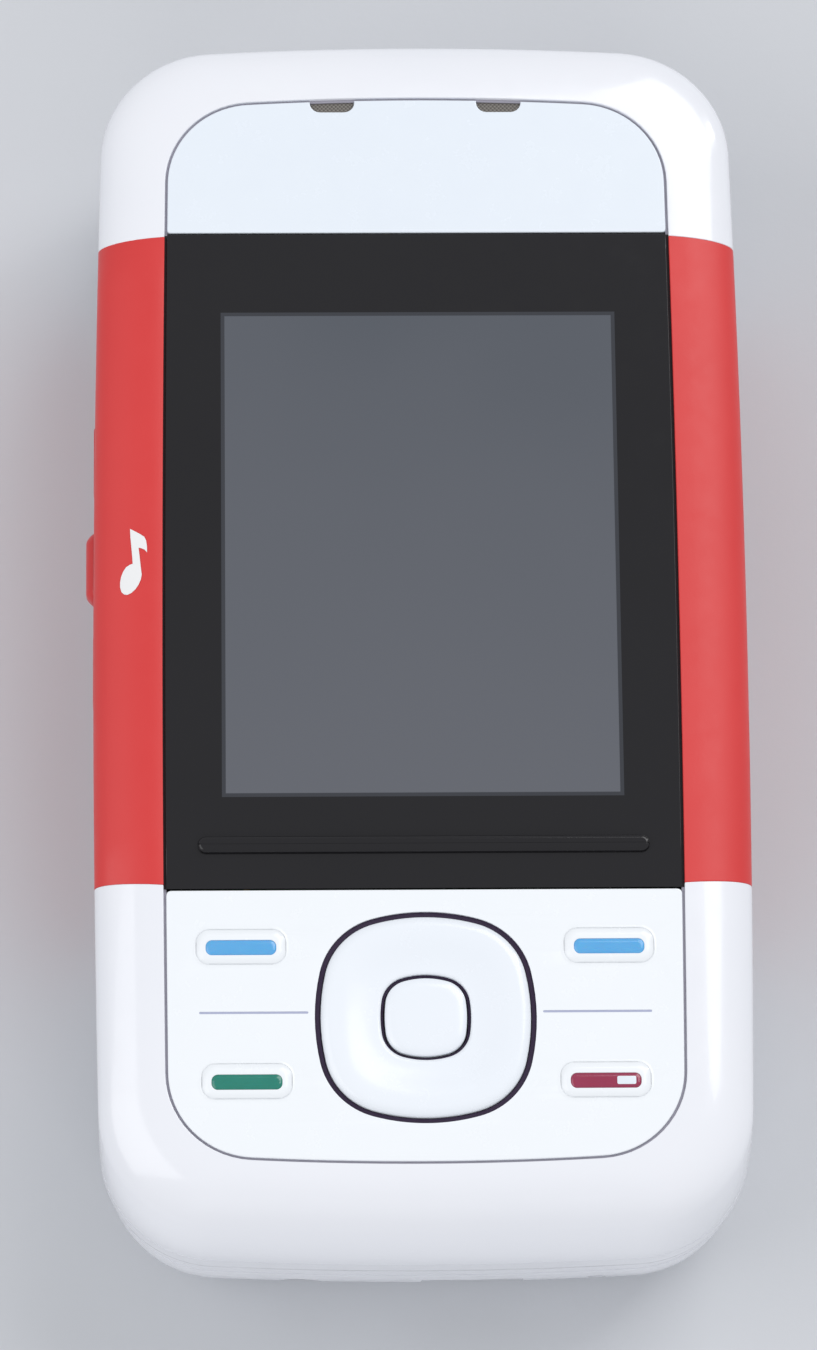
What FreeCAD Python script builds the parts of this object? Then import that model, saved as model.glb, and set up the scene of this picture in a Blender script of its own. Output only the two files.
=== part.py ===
"""A slider phone, lying on its back: a slide half with the display over a base half with the number keys.

Millimetres. +X is the phone's right side, +Y its earpiece end and +Z its front. The origin is the middle
of the back.
"""

import FreeCAD, Part
import math
import os

V = FreeCAD.Vector

# Thickness, from the back to the front.
BASE_T = 9.95
HALVES_GAP = 0.25
SLIDE_T = 10.1
BAR_RISE = 0.4

# Outline of the body, and of the faceplate set in its front.
BODY_HALF_W = 23.9
BODY_HALF_L = 46.2
BODY_SIDE_R = 1500.0
BODY_CORNER_R = 8.5
BODY_END_R = 280.0
FACE_BORDER_W = 5.27
FACE_BORDER_L = 5.53
FACE_HALF_W = BODY_HALF_W - FACE_BORDER_W
FACE_HALF_L = BODY_HALF_L - FACE_BORDER_L
FACE_SIDE_R = 2800.0
FACE_CORNER_R = 6.3
FACE_END_R = 230.0
FACE_Y = 0.43
FACE_GAP = 0.2
FACE_T = 1.2
BASE_INSET = 0.4

# Rounding of the shells: how far it reaches in, and how high it is.
CROWN_RISE = 2.5
FOOT_RISE = 6.9
SLIDE_BACK_REACH = 1.0
SLIDE_BACK_RISE = 1.6
BASE_BACK_REACH = 4.6
BASE_BACK_MARGIN = 1.95
BASE_BACK_RISE = BASE_T - BASE_BACK_MARGIN
ROUND_STEPS = 6

# Walls of the shells and the heights at which they part.
SLIDE_WALL = 1.3
SLIDE_JOIN = 3.2
BAND_T = 0.7
BAND_FOOT = 1.2
BASE_WALL = 1.3
COVER_RIM = 3.2
FRONT_RIM = 1.35
FRONT_COVER_T = 0.95
LEDGE_T = 0.8
LEDGE_REACH = 0.9

# Coloured bands, and the panels of the faceplate.
BAND_TOP_MARGIN = 16.0
BAND_TOP_Y = BODY_HALF_L - BAND_TOP_MARGIN
BAND_BOTTOM_MARGIN = 26.5
BAND_BOTTOM_Y = BAND_BOTTOM_MARGIN - BODY_HALF_L
BAND_MID_Y = (BAND_TOP_Y + BAND_BOTTOM_Y) / 2
BAND_TAPER = 0.4
EARPIECE_PANEL_L = 10.65
WINDOW_TOP_Y = FACE_Y + FACE_HALF_L - EARPIECE_PANEL_L
KEY_PANEL_L = 20.14
WINDOW_BOTTOM_Y = FACE_Y - FACE_HALF_L + KEY_PANEL_L
PANEL_GAP = 0.12
BAR_END_MARGIN = 2.33
BAR_HALF_L = FACE_HALF_W - BAR_END_MARGIN
BAR_MARGIN = 3.3
BAR_Y = WINDOW_BOTTOM_Y + BAR_MARGIN
BAR_W = 1.25
BAR_EDGE_R = 0.3
SLOT_X = 6.2
SLOT_W = 3.3
SLOT_H = 0.95
SLOT_R = 0.9
MESH_SINK = 0.4

# Function keys in the key panel.
KEY_TRAVEL = 0.25
KEY_FIT = 0.12
KEY_RISE = 0.3
KEY_LIP = 0.45
KEY_LIP_T = 0.3
PAD_W = 6.3
PAD_H = 2.45
PAD_R = 0.9
INLAY_W = 5.05
INLAY_H = 1.12
INLAY_R = 0.46
INLAY_DROP = 0.12
INLAY_DEPTH = 0.15
SOFT_SIDE_MARGIN = 5.43
SOFT_X = FACE_HALF_W - SOFT_SIDE_MARGIN
SOFT_TOP_MARGIN = 4.3
SOFT_Y = WINDOW_BOTTOM_Y - SOFT_TOP_MARGIN
CALL_SIDE_MARGIN = 5.83
CALL_X = FACE_HALF_W - CALL_SIDE_MARGIN
CALL_TOP_MARGIN = 14.25
CALL_Y = WINDOW_BOTTOM_Y - CALL_TOP_MARGIN
PAD_EDGE_R = 0.2
RULE_INNER_X = 8.4
RULE_OUTER_X = 16.2
RULE_W = 0.2
RULE_DEPTH = 0.1
RULE_LIFT = 0.37
RING_TOP_MARGIN = 9.55
RING_Y = WINDOW_BOTTOM_Y - RING_TOP_MARGIN
RING_HALF_W = 7.53
RING_HALF_L = 7.42
RING_SIDE_R = 15.0
RING_CORNER_R = 4.9
RING_END_R = 13.8
RING_GAP = 0.42
RING_RISE = 0.4
RING_FOOT = 0.1
RING_RIM = 1.6
RING_DISH = 0.45
RING_TILT_ROOM = 0.3
SELECT_HALF_W = 2.95
SELECT_HALF_L = 2.88
SELECT_SIDE_R = 8.3
SELECT_CORNER_R = 1.8
SELECT_END_R = 5.65
SELECT_GAP = 0.22
SELECT_RISE = 0.25
SELECT_EDGE = 0.9
SELECT_EDGE_RISE = 0.35
PIVOT_T = 0.14
PIVOT_GAP = 0.1
PIVOT_IN = 3.5
PIVOT_OUT = 4.4
PIVOT_R = 1.5

# Keys on the side walls: place along the wall, length, height, and how far they stand out.
SIDE_KEY_H = 2.4
SIDE_KEY_FIT = 0.12
SIDE_KEY_T = 2.3
SIDE_KEY_R = 0.6
MUSIC_KEY_Z = 5.3
PLAY_KEY_OFFSET = 0.55
PLAY_KEY_Y = BAND_MID_Y + PLAY_KEY_OFFSET
MUSIC_PITCH = 8.1
SKIP_KEY_L = 5.6
SKIP_KEY_RISE = 0.05
PLAY_KEY_L = 5.5
PLAY_KEY_RISE = 0.6
MUSIC_KEYS = {
    "rewind_key": (PLAY_KEY_Y - MUSIC_PITCH, SKIP_KEY_L, SKIP_KEY_RISE),
    "play_key": (PLAY_KEY_Y, PLAY_KEY_L, PLAY_KEY_RISE),
    "forward_key": (PLAY_KEY_Y + MUSIC_PITCH, SKIP_KEY_L, SKIP_KEY_RISE),
}
BASE_KEY_DROP = 3.65
BASE_KEY_Z = BASE_T - BASE_KEY_DROP
VOLUME_KEY_OFFSET = 8.75
VOLUME_KEY_L = 12.5
CAMERA_KEY_OFFSET = -16.75
CAMERA_KEY_L = 7.0
POWER_KEY_X = 9.0
POWER_KEY_L = 8.0
SIDE_KEY_RISE = 0.25
VOLUME_KEY = (BAND_MID_Y + VOLUME_KEY_OFFSET, VOLUME_KEY_L, SIDE_KEY_RISE)
CAMERA_KEY = (BAND_MID_Y + CAMERA_KEY_OFFSET, CAMERA_KEY_L, SIDE_KEY_RISE)
POWER_KEY = (POWER_KEY_X, POWER_KEY_L, SIDE_KEY_RISE)

# Number keys in the base.
NUMBER_SIDE_MARGIN = 4.4
NUMBER_PITCH_X = (BODY_HALF_W - NUMBER_SIDE_MARGIN) * 2 / 3
NUMBER_PITCH_Y = 7.2
NUMBER_TOP_MARGIN = 29.2
NUMBER_TOP_Y = NUMBER_TOP_MARGIN - BODY_HALF_L
NUMBER_SPACE_X = 0.9
NUMBER_W = NUMBER_PITCH_X - NUMBER_SPACE_X
NUMBER_SPACE_Y = 1.0
NUMBER_H = NUMBER_PITCH_Y - NUMBER_SPACE_Y
NUMBER_R = 1.4
NUMBER_EDGE_R = 0.15
NUMBER_SINK = 0.1
NUMBER_LIP = 0.3
NUMBER_LIP_T = 0.3
NUMBER_LIP_FIT = 0.05
NUMBER_MAT_R = 5.0

# Slider: rail plate on the base, carrier plate on the slide.
RAIL_SHEET = 0.4
RAIL_SIDE_MARGIN = 7.25
RAIL_HALF_W = BODY_HALF_W - RAIL_SIDE_MARGIN
SLIDE_TRAVEL = 35.0
RAIL_TOP_MARGIN = 8.2
RAIL_TOP_Y = BODY_HALF_L - RAIL_TOP_MARGIN
RAIL_END_MARGIN = 5.2
RAIL_BOTTOM_Y = SLIDE_TRAVEL + RAIL_END_MARGIN - BODY_HALF_L
RAIL_CORNER_R = 0.3
RAIL_FIT = 0.1
RAIL_LIP_T = 0.3
RAIL_LIP_W = 1.55
CARRIER_OVERLAP = 20.0
CARRIER_TOP_Y = RAIL_BOTTOM_Y + CARRIER_OVERLAP
CARRIER_END_MARGIN = 12.2
CARRIER_BOTTOM_Y = CARRIER_END_MARGIN - BODY_HALF_L
CARRIER_FOOT_W = 2.35
CARRIER_WEB_HALF_W = RAIL_HALF_W - CARRIER_FOOT_W
CARRIER_LIFT = 0.2
RUN_GAP = 0.15
WELL_GAP = 0.35
WELL_DEPTH = 1.25
WELL_ROOF = 0.8
SPRING_SIDE_MARGIN = 5.45
SPRING_X = RAIL_HALF_W - SPRING_SIDE_MARGIN
SPRING_R = 1.9
SPRING_LEG = 8.0
SPRING_WIRE = 0.5
SPRING_GAP = 0.05
FLEX_HALF_W = 5.0
FLEX_SIDE_GAP = 0.5
FLEX_END_GAP = 1.0
FLEX_T = 0.12
FLEX_TOP_Y = 4.0
FLEX_BEND_Y = -10.0
FLEX_TAIL = 0.3

# Inside the slide.
BOARD_T = 0.7
SLIDE_BOARD_DROP = 4.8
SLIDE_BOARD_SIDE_MARGIN = 0.33
SLIDE_BOARD_HALF_W = FACE_HALF_W - SLIDE_BOARD_SIDE_MARGIN
SLIDE_BOARD_END_MARGIN = 6.2
SLIDE_BOARD_HALF_L = BODY_HALF_L - SLIDE_BOARD_END_MARGIN
SLIDE_BOARD_R = 5.0
BOARD_POST_SIDE_MARGIN = 6.3
BOARD_POST_X = SLIDE_BOARD_HALF_W - BOARD_POST_SIDE_MARGIN
BOARD_POST_END_MARGIN = 10.0
BOARD_POST_Y = SLIDE_BOARD_HALF_L - BOARD_POST_END_MARGIN
BOARD_POST_R = 1.0
KEY_BOARD_T = 0.5
KEY_BOARD_TOP_GAP = 1.0
KEY_BOARD_END_GAP = 2.5
KEY_BOARD_R = 4.5
KEY_POST_X = 11.0
KEY_POST_REACH = 5.0
KEY_POST_R = 0.9
RING_DOME_REACH = 5.6
STRIP_HALF_L = 12.0
STRIP_HALF_H = 1.6
STRIP_FIT = 0.05
TAB_HALF_L = 3.5
DOME_T = 0.25
DOME_R = 1.9
MAT_T = 0.2
MAT_GAP = 0.05
DISPLAY_SIDE_MARGIN = 1.83
DISPLAY_HALF_W = FACE_HALF_W - DISPLAY_SIDE_MARGIN
DISPLAY_TOP_MARGIN = 4.05
DISPLAY_TOP_Y = WINDOW_TOP_Y - DISPLAY_TOP_MARGIN
DISPLAY_BOTTOM_MARGIN = 4.7
DISPLAY_BOTTOM_Y = WINDOW_BOTTOM_Y + DISPLAY_BOTTOM_MARGIN
DISPLAY_GAP = 0.15
DISPLAY_AIR = 0.2
TRAY_T = 0.35
TRAY_AIR = 0.5
TRAY_R = 0.8
EARPIECE_W = 14.0
EARPIECE_H = 6.0
EARPIECE_T = 2.4
EARPIECE_R = 2.0
EARPIECE_GAP = 0.6

# Inside the base.
BOARD_FIT = 0.2
DECK_T = 0.6
DECK_DROP = 3.05
DECK_TOP = BASE_T - DECK_DROP
DECK_END_MARGIN = 13.2
DECK_BOTTOM_Y = DECK_END_MARGIN - BODY_HALF_L
CAMERA_COVER_L = 22.2
COVER_SPLIT_Y = BODY_HALF_L - CAMERA_COVER_L
COVER_SEAM = 0.12
SEAM_W = 0.12
SEAM_DEPTH = 0.15
GRIP_TOP_MARGIN = 5.4
GRIP_W = 15.0
GRIP_L = 5.4
GRIP_R = 2.6
GRIP_DEPTH = 0.4
GRIP_RIBS = 4
GRIP_RIB_PITCH = 1.1
GRIP_RIB_W = 0.45
GRIP_RIB_L = 11.4
GRIP_RIB_T = 0.3
MAIN_BOARD_INSET = 3.4
BATTERY_SIDE_MARGIN = 6.9
BATTERY_W = 2 * (BODY_HALF_W - BATTERY_SIDE_MARGIN)
BATTERY_L = 34.2
BATTERY_OFFSET = 19.0
BATTERY_Y = DECK_BOTTOM_Y + BATTERY_OFFSET
BATTERY_GAP = 0.15
BATTERY_AIR = 0.1
BATTERY_T = DECK_TOP - DECK_T - BASE_WALL - BATTERY_GAP - BATTERY_AIR
BATTERY_R = 1.5
CONTACT_HALF_W = 6.0
CONTACT_L = 3.0
CONTACT_DROP = 3.6
CONTACT_FIT = 0.3
CARD_X = -8.0
CARD_Y = 11.0
CARD_W = 17.0
CARD_L = 15.5
CARD_T = 1.1
CARD_R = 1.0
CAN_SIDE_MARGIN = 6.4
CAN_HALF_W = BODY_HALF_W - CAN_SIDE_MARGIN
CAN_INNER_X = 6.5
CAN_LOW_Y = -9.0
CAN_MID_Y = 16.0
CAN_TOP_MARGIN = 15.2
CAN_TOP_Y = BODY_HALF_L - CAN_TOP_MARGIN
CAN_SPACE = 2.0
CAN_WALL = 0.3
CAN_AIR = 0.1
CAMERA_MARGIN = 11.2
CAMERA_Y = BODY_HALF_L - CAMERA_MARGIN
CAMERA_SIZE = 8.6
CAMERA_T = 3.5
CAMERA_R = 0.8
LENS_R = 2.9
LENS_BACK = 1.35
CAMERA_HOLE_R = 3.0
CAMERA_WINDOW_R = 3.4
CAMERA_WINDOW_SINK = 0.2
CAMERA_WINDOW_T = 1.0
CAMERA_WINDOW_FIT = 0.05
LENS_BEVEL = 0.45
LENS_BEVEL_RISE = 0.35
SPEAKER_SIDE_MARGIN = 10.9
SPEAKER_X = BODY_HALF_W - SPEAKER_SIDE_MARGIN
SPEAKER_TOP_MARGIN = 12.2
SPEAKER_Y = BODY_HALF_L - SPEAKER_TOP_MARGIN
SPEAKER_W = 11.0
SPEAKER_L = 9.0
SPEAKER_T = 3.2
SPEAKER_R = 3.0
GRILLE_SLOTS = 5
GRILLE_PITCH = 1.9
GRILLE_SLOT_W = 0.9
GRILLE_SLOT_L = 6.0
GRILLE_SLOT_R = 0.4
SOCKET_DROP = 1.65
SOCKET_Z = DECK_TOP - SOCKET_DROP
HEADSET_X = -10.0
HEADSET_R = 1.25
CHARGER_X = -9.0
CHARGER_R = 1.05
SOCKET_WALL = 0.7
SOCKET_L = 6.0
SOCKET_GAP = 1.3
SOCKET_END_WALL = 0.6
COLLAR_WALL = 0.35
COLLAR_FIT = 0.05
MOUTH_SET_IN = 1.05
WALL_CUT = 4.0
USB_X = 3.5
USB_W = 7.0
USB_H = 2.5
USB_WALL = 0.3
USB_END_WALL = 0.8
USB_HOLE_FIT = 0.2
USB_TONGUE_INSET = 1.2
USB_TONGUE_HALF_T = 0.3
USB_TONGUE_SET_IN = 1.0
MIC_X = 12.5
MIC_R = 0.6
MIC_LIFT = 1.0
MIC_BODY_R = 1.8
MIC_BODY_T = 2.2
MIC_SET_IN = 5.2
SCREW_R = 0.7
SCREW_HEAD_R = 1.3
SCREW_HEAD_T = 0.5
SCREW_FIT = 0.05
BOSS_WALL = 0.8
SLIDE_SCREW_L = 7.0
SLIDE_SCREW_SIDE_MARGIN = 3.9
SLIDE_SCREW_X = BODY_HALF_W - SLIDE_SCREW_SIDE_MARGIN
SLIDE_SCREW_END_MARGIN = 10.7
SLIDE_SCREW_Y = BODY_HALF_L - SLIDE_SCREW_END_MARGIN
SLIDE_SCREWS = [(x, y) for y in (SLIDE_SCREW_Y, -SLIDE_SCREW_Y) for x in (SLIDE_SCREW_X, -SLIDE_SCREW_X)]
BASE_SCREW_L = 6.0
BASE_POST_FOOT = 0.6
BASE_SCREW_SIDE_MARGIN = 3.6
BASE_SCREW_X = BODY_HALF_W - BASE_SCREW_SIDE_MARGIN
BASE_SCREW_END_MARGIN = 13.2
BASE_SCREW_Y = BODY_HALF_L - BASE_SCREW_END_MARGIN
MID_SCREW_SIDE_MARGIN = 3.3
MID_SCREW_X = BODY_HALF_W - MID_SCREW_SIDE_MARGIN
MID_SCREW_Y = -2.0
BASE_SCREWS = [
    (BASE_SCREW_X, BASE_SCREW_Y),
    (-BASE_SCREW_X, BASE_SCREW_Y),
    (MID_SCREW_X, MID_SCREW_Y),
    (-MID_SCREW_X, MID_SCREW_Y),
]

# Heights that follow.
SLIDE_BACK = BASE_T + HALVES_GAP
FRONT = SLIDE_BACK + SLIDE_T
PANEL_BACK = FRONT - FACE_T
JOIN_Z = SLIDE_BACK + SLIDE_JOIN
WELL_TOP = SLIDE_BACK + WELL_DEPTH
WELL_ROOF_TOP = WELL_TOP + WELL_ROOF
BOARD_Z = FRONT - SLIDE_BOARD_DROP
LIP_TOP = PANEL_BACK - RING_TILT_ROOM
LIP_BACK = LIP_TOP - KEY_LIP_T
MAT_TOP = LIP_BACK - PIVOT_T - 2 * PIVOT_GAP
KEY_BOARD_TOP = MAT_TOP - MAT_T - MAT_GAP - DOME_T
BASE_RIM_Z = BASE_T - FRONT_RIM
PLATE_BACK = BASE_T - FRONT_COVER_T
MAIN_BOARD_TOP = DECK_TOP + BOARD_T
CARRIER_BACK = SLIDE_BACK + CARRIER_LIFT
PAD_TOP = FRONT + KEY_RISE
FAR = 200.0


class Outline:
    """An oval: long side and end arcs joined by corner arcs, all tangent to each other."""

    def __init__(self, half_w, half_l, side_r, corner_r, end_r, y=0.0):
        self.values = [half_w, half_l, side_r, corner_r, end_r, y]

    def offset(self, by):
        half_w, half_l, side_r, corner_r, end_r, y = self.values
        return Outline(half_w + by, half_l + by, side_r + by, corner_r + by, end_r + by, y)

    def towards(self, other, share):
        return Outline(*[a + (b - a) * share for a, b in zip(self.values, other.values)])

    def foot(self):
        return self.values[5] - self.values[1]

    def lean(self, other, share, foot_share):
        """An outline on the way to another one, with its foot end further along than the rest."""
        made = self.towards(other, share)
        head = made.values[5] + made.values[1]
        foot = self.foot() + (other.foot() - self.foot()) * foot_share
        made.values[1], made.values[5] = (head - foot) / 2, (head + foot) / 2
        return made

    def wire(self, z):
        half_w, half_l, side_r, corner_r, end_r, y = self.values
        side = V(half_w - side_r, 0)
        end = V(0, half_l - end_r)
        reach_side, reach_end = side_r - corner_r, end_r - corner_r
        apart = (end - side).Length
        along = (apart**2 + reach_side**2 - reach_end**2) / (2 * apart)
        across = math.sqrt(reach_side**2 - along**2)
        line = (end - side).normalize()
        corner = side + line * along + V(-line.y, line.x) * across
        to_side = corner + (corner - side).normalize() * corner_r
        to_end = corner + (corner - end).normalize() * corner_r
        to_mid = corner + ((corner - side).normalize() + (corner - end).normalize()).normalize() * corner_r
        edges = []
        for sx, sy in ((1, 1), (-1, 1), (-1, -1), (1, -1)):
            ends = [V(p.x * sx, p.y * sy + y, z) for p in (to_side, to_mid, to_end)]
            across_end = V(-to_end.x * sx, to_end.y * sy + y, z)
            next_side = V(to_side.x * sx, -to_side.y * sy + y, z)
            if sx * sy > 0:
                edges.append(Part.Arc(*ends))
                edges.append(Part.Arc(ends[2], V(0, half_l * sy + y, z), across_end))
            else:
                edges.append(Part.Arc(*reversed(ends)))
                edges.append(Part.Arc(ends[0], V(half_w * sx, y, z), next_side))
        return Part.Wire([e.toShape() for e in edges])

    def prism(self, low, high):
        return Part.Face(self.wire(low)).extrude(V(0, 0, high - low))


def box(x0, x1, y0, y1, z0, z1):
    return Part.makeBox(x1 - x0, y1 - y0, z1 - z0, V(x0, y0, z0))


def slab(y0, y1, z0=-FAR, z1=FAR):
    return box(-FAR, FAR, y0, y1, z0, z1)


def pad(x, y, w, length, radius, z0, z1):
    """A plate centred on x, y with rounded corners in plan."""
    plate = box(x - w / 2, x + w / 2, y - length / 2, y + length / 2, z0, z1)
    upright = [e for e in plate.Edges if abs(e.tangentAt(e.FirstParameter).z) > 0.9]
    return plate.makeFillet(min(radius, w / 2 - 0.01, length / 2 - 0.01), upright)


def soften(solid, z, radius):
    """Rounds the edges that lie at height z."""
    edges = [e for e in solid.Edges if max(abs(e.BoundBox.ZMin - z), abs(e.BoundBox.ZMax - z)) < 1e-4]
    return solid.makeFillet(radius, edges)


def cylinder(x, y, z0, z1, radius):
    return Part.makeCylinder(radius, z1 - z0, V(x, y, z0))


def end_drill(x, y, z, radius, length):
    """A round cutter from y outwards through the nearer end wall."""
    return Part.makeCylinder(radius, length, V(x, y, z), V(0, math.copysign(1, y), 0))


def quarter(wall, edge, z_wall, z_edge):
    """A body that curves as a quarter of an ellipse from an upright wall to a flat edge."""
    wires = []
    for step in range(ROUND_STEPS + 1):
        angle = math.pi / 2 * step / ROUND_STEPS
        share = 1 - math.cos(angle)
        wires.append(wall.towards(edge, share).wire(z_wall + (z_edge - z_wall) * math.sin(angle)))
    return Part.makeLoft(wires if z_edge > z_wall else wires[::-1], True, False)


def ease(z, low, high):
    """How far a quarter ellipse has come in at height z, from 0 where it starts to 1 at its top."""
    climbed = min(max((z - low) / (high - low), 0), 1)
    return 1 - math.sqrt(1 - climbed**2)


def leaning_crown(wall, edge, side_z, foot_z, top_z):
    """A crown that starts at side_z all round, but lower down, at foot_z, on the foot end."""
    stretches = []
    for start, high in ((foot_z, side_z), (side_z, top_z)):
        wires = []
        last_angle = math.asin((high - start) / (top_z - start))
        for step in range(ROUND_STEPS + 1):
            z = start + (top_z - start) * math.sin(last_angle * step / ROUND_STEPS)
            wires.append(wall.lean(edge, ease(z, side_z, top_z), ease(z, foot_z, top_z)).wire(z))
        stretches.append(Part.makeLoft(wires, True, False))
    return stretches


BODY = Outline(BODY_HALF_W, BODY_HALF_L, BODY_SIDE_R, BODY_CORNER_R, BODY_END_R)
FACE = Outline(FACE_HALF_W, FACE_HALF_L, FACE_SIDE_R, FACE_CORNER_R, FACE_END_R, FACE_Y)
BASE = BODY.offset(-BASE_INSET)
OPENING = FACE.offset(FACE_GAP)
RING = Outline(RING_HALF_W, RING_HALF_L, RING_SIDE_R, RING_CORNER_R, RING_END_R, RING_Y)
SELECT = Outline(SELECT_HALF_W, SELECT_HALF_L, SELECT_SIDE_R, SELECT_CORNER_R, SELECT_END_R, RING_Y)


def slide_form(depth):
    """The slide's outer form, or its inside at a depth below the surface."""
    wall = BODY.offset(-depth)
    back_z, foot_z = SLIDE_BACK + SLIDE_BACK_RISE, FRONT - FOOT_RISE
    crown = leaning_crown(wall, OPENING, FRONT - CROWN_RISE, foot_z, FRONT - depth)
    back = quarter(wall, BODY.offset(-SLIDE_BACK_REACH - depth), back_z, SLIDE_BACK + depth)
    return back.fuse([wall.prism(back_z, foot_z)] + crown)


def base_form(depth):
    """The base's outer form, or its inside at a depth below the surface."""
    wall = BASE.offset(-depth)
    back = quarter(wall, BASE.offset(-BASE_BACK_REACH - depth * 0.4), BASE_BACK_RISE, depth)
    return back.fuse(wall.prism(BASE_BACK_RISE, BASE_T))


def band_zone(z0, z1):
    """The stretch of both side walls that the coloured bands fill."""
    zones = []
    for side in (1, -1):
        inner, outer = side * OPENING.values[0], side * (BODY_HALF_W + 1)
        corners = [
            V(inner, BAND_TOP_Y, z0),
            V(outer, BAND_TOP_Y - BAND_TAPER, z0),
            V(outer, BAND_BOTTOM_Y + BAND_TAPER, z0),
            V(inner, BAND_BOTTOM_Y, z0),
        ]
        zones.append(Part.Face(Part.makePolygon(corners + corners[:1])).extrude(V(0, 0, z1 - z0)))
    return zones


def side_key(face, y, length, z, height, fit, stand):
    """A key through a wall whose outer face is at x = face. A negative face is the left wall."""
    side = 1 if face > 0 else -1
    tip, root = face + side * stand, face - side * SIDE_KEY_T
    key = box(min(tip, root), max(tip, root), y - length / 2 - fit, y + length / 2 + fit,
              z - height / 2 - fit, z + height / 2 + fit)
    along = [e for e in key.Edges if abs(e.tangentAt(e.FirstParameter).x) > 0.9]
    return key.makeFillet(SIDE_KEY_R, along)


def side_flange(face, y, length, z, height):
    """The wider foot that keeps a side key from falling out."""
    side = 1 if face > 0 else -1
    root = face - side * SIDE_KEY_T
    foot = root - side * KEY_LIP_T
    reach = KEY_LIP
    return box(min(root, foot), max(root, foot), y - length / 2 - reach, y + length / 2 + reach,
               z - height / 2 - reach, z + height / 2 + reach)


def turned_to_end(shape):
    """Moves a key built on the right wall to the top wall."""
    turned = shape.copy()
    turned.rotate(V(0, 0, 0), V(0, 0, 1), 90)
    return turned


def dome(x, y, z):
    """A metal snap dome on a board."""
    return Part.makeCone(DOME_R, DOME_R / 2, DOME_T, V(x, y, z))


def save(name, shape):
    solids = shape.Solids
    shape = solids[0] if len(solids) == 1 else Part.makeCompound(solids)
    print(name, len(solids), "valid" if shape.isValid() else "NOT VALID", round(shape.Volume, 1))
    shape.exportStep("parts/" + name + ".step")


def function_keys():
    """Soft keys, call key and end key: white pads, each with a groove for its coloured inlay."""
    places = {
        "soft_key_left": (-SOFT_X, SOFT_Y),
        "soft_key_right": (SOFT_X, SOFT_Y),
        "call_key": (-CALL_X, CALL_Y),
        "end_key": (CALL_X, CALL_Y),
    }
    keys, openings = {}, []
    for name, (x, y) in places.items():
        key = soften(pad(x, y, PAD_W, PAD_H, PAD_R, LIP_BACK, PAD_TOP), PAD_TOP, PAD_EDGE_R)
        key = key.fuse(pad(x, y, PAD_W + KEY_LIP, PAD_H + KEY_LIP, PAD_R, LIP_BACK, LIP_TOP))
        groove = pad(x, y - INLAY_DROP, INLAY_W, INLAY_H, INLAY_R, PAD_TOP - INLAY_DEPTH, PAD_TOP + 1)
        keys[name] = key.cut(groove)
        width, height = PAD_W + 2 * KEY_FIT, PAD_H + 2 * KEY_FIT
        openings.append(pad(x, y, width, height, PAD_R + KEY_FIT, PANEL_BACK - 1, FRONT + 1))
    return keys, openings


def scroll_keys():
    """The scroll ring, dished between its rim and the select key, and the frame it tilts on."""
    top = FRONT + RING_RISE
    select_hole = SELECT.offset(SELECT_GAP)
    rim_foot = FRONT - RING_FOOT
    ring = quarter(RING, RING.offset(-RING_RIM / 2), rim_foot, top).fuse(RING.prism(LIP_BACK, rim_foot))
    ring = ring.fuse(RING.offset(KEY_LIP).prism(LIP_BACK, LIP_TOP))
    dish_top = RING.offset(-RING_RIM)
    dish = Part.makeLoft([
        select_hole.wire(top - RING_DISH),
        select_hole.towards(dish_top, 0.5).wire(top - RING_DISH * 0.75),
        dish_top.wire(top),
        dish_top.offset(RING_RIM * 0.3).wire(top + 0.2),
    ], True, False)
    ring = ring.cut(dish).cut(select_hole.prism(LIP_BACK - 1, top + 1))
    ring = ring.cut(select_hole.offset(KEY_LIP).prism(LIP_BACK - 1, LIP_TOP + KEY_TRAVEL))
    select_top = FRONT + SELECT_RISE
    select_edge = select_top - SELECT_EDGE_RISE
    select = quarter(SELECT, SELECT.offset(-SELECT_EDGE), select_edge, select_top)
    select = select.fuse(SELECT.prism(LIP_BACK, select_edge))
    select = select.fuse(SELECT.offset(KEY_FIT * 2).prism(LIP_BACK, LIP_TOP))
    low = LIP_BACK - PIVOT_GAP - PIVOT_T
    pivot = pad(0, RING_Y, 2 * PIVOT_OUT, 2 * PIVOT_OUT, PIVOT_R, low, low + PIVOT_T)
    pivot = pivot.cut(pad(0, RING_Y, 2 * PIVOT_IN, 2 * PIVOT_IN, PIVOT_R - 0.5, low - 1, low + 1))
    return ring, select, pivot


def music_keys():
    keys, openings = {}, []
    z = SLIDE_BACK + MUSIC_KEY_Z
    for name, (y, length, stand) in MUSIC_KEYS.items():
        key = side_key(-BODY_HALF_W, y, length, z, SIDE_KEY_H, 0, stand)
        keys[name] = key.fuse(side_flange(-BODY_HALF_W, y, length, z, SIDE_KEY_H))
        openings.append(side_key(-BODY_HALF_W, y, length, z, SIDE_KEY_H, SIDE_KEY_FIT, 2))
    return keys, openings


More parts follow.
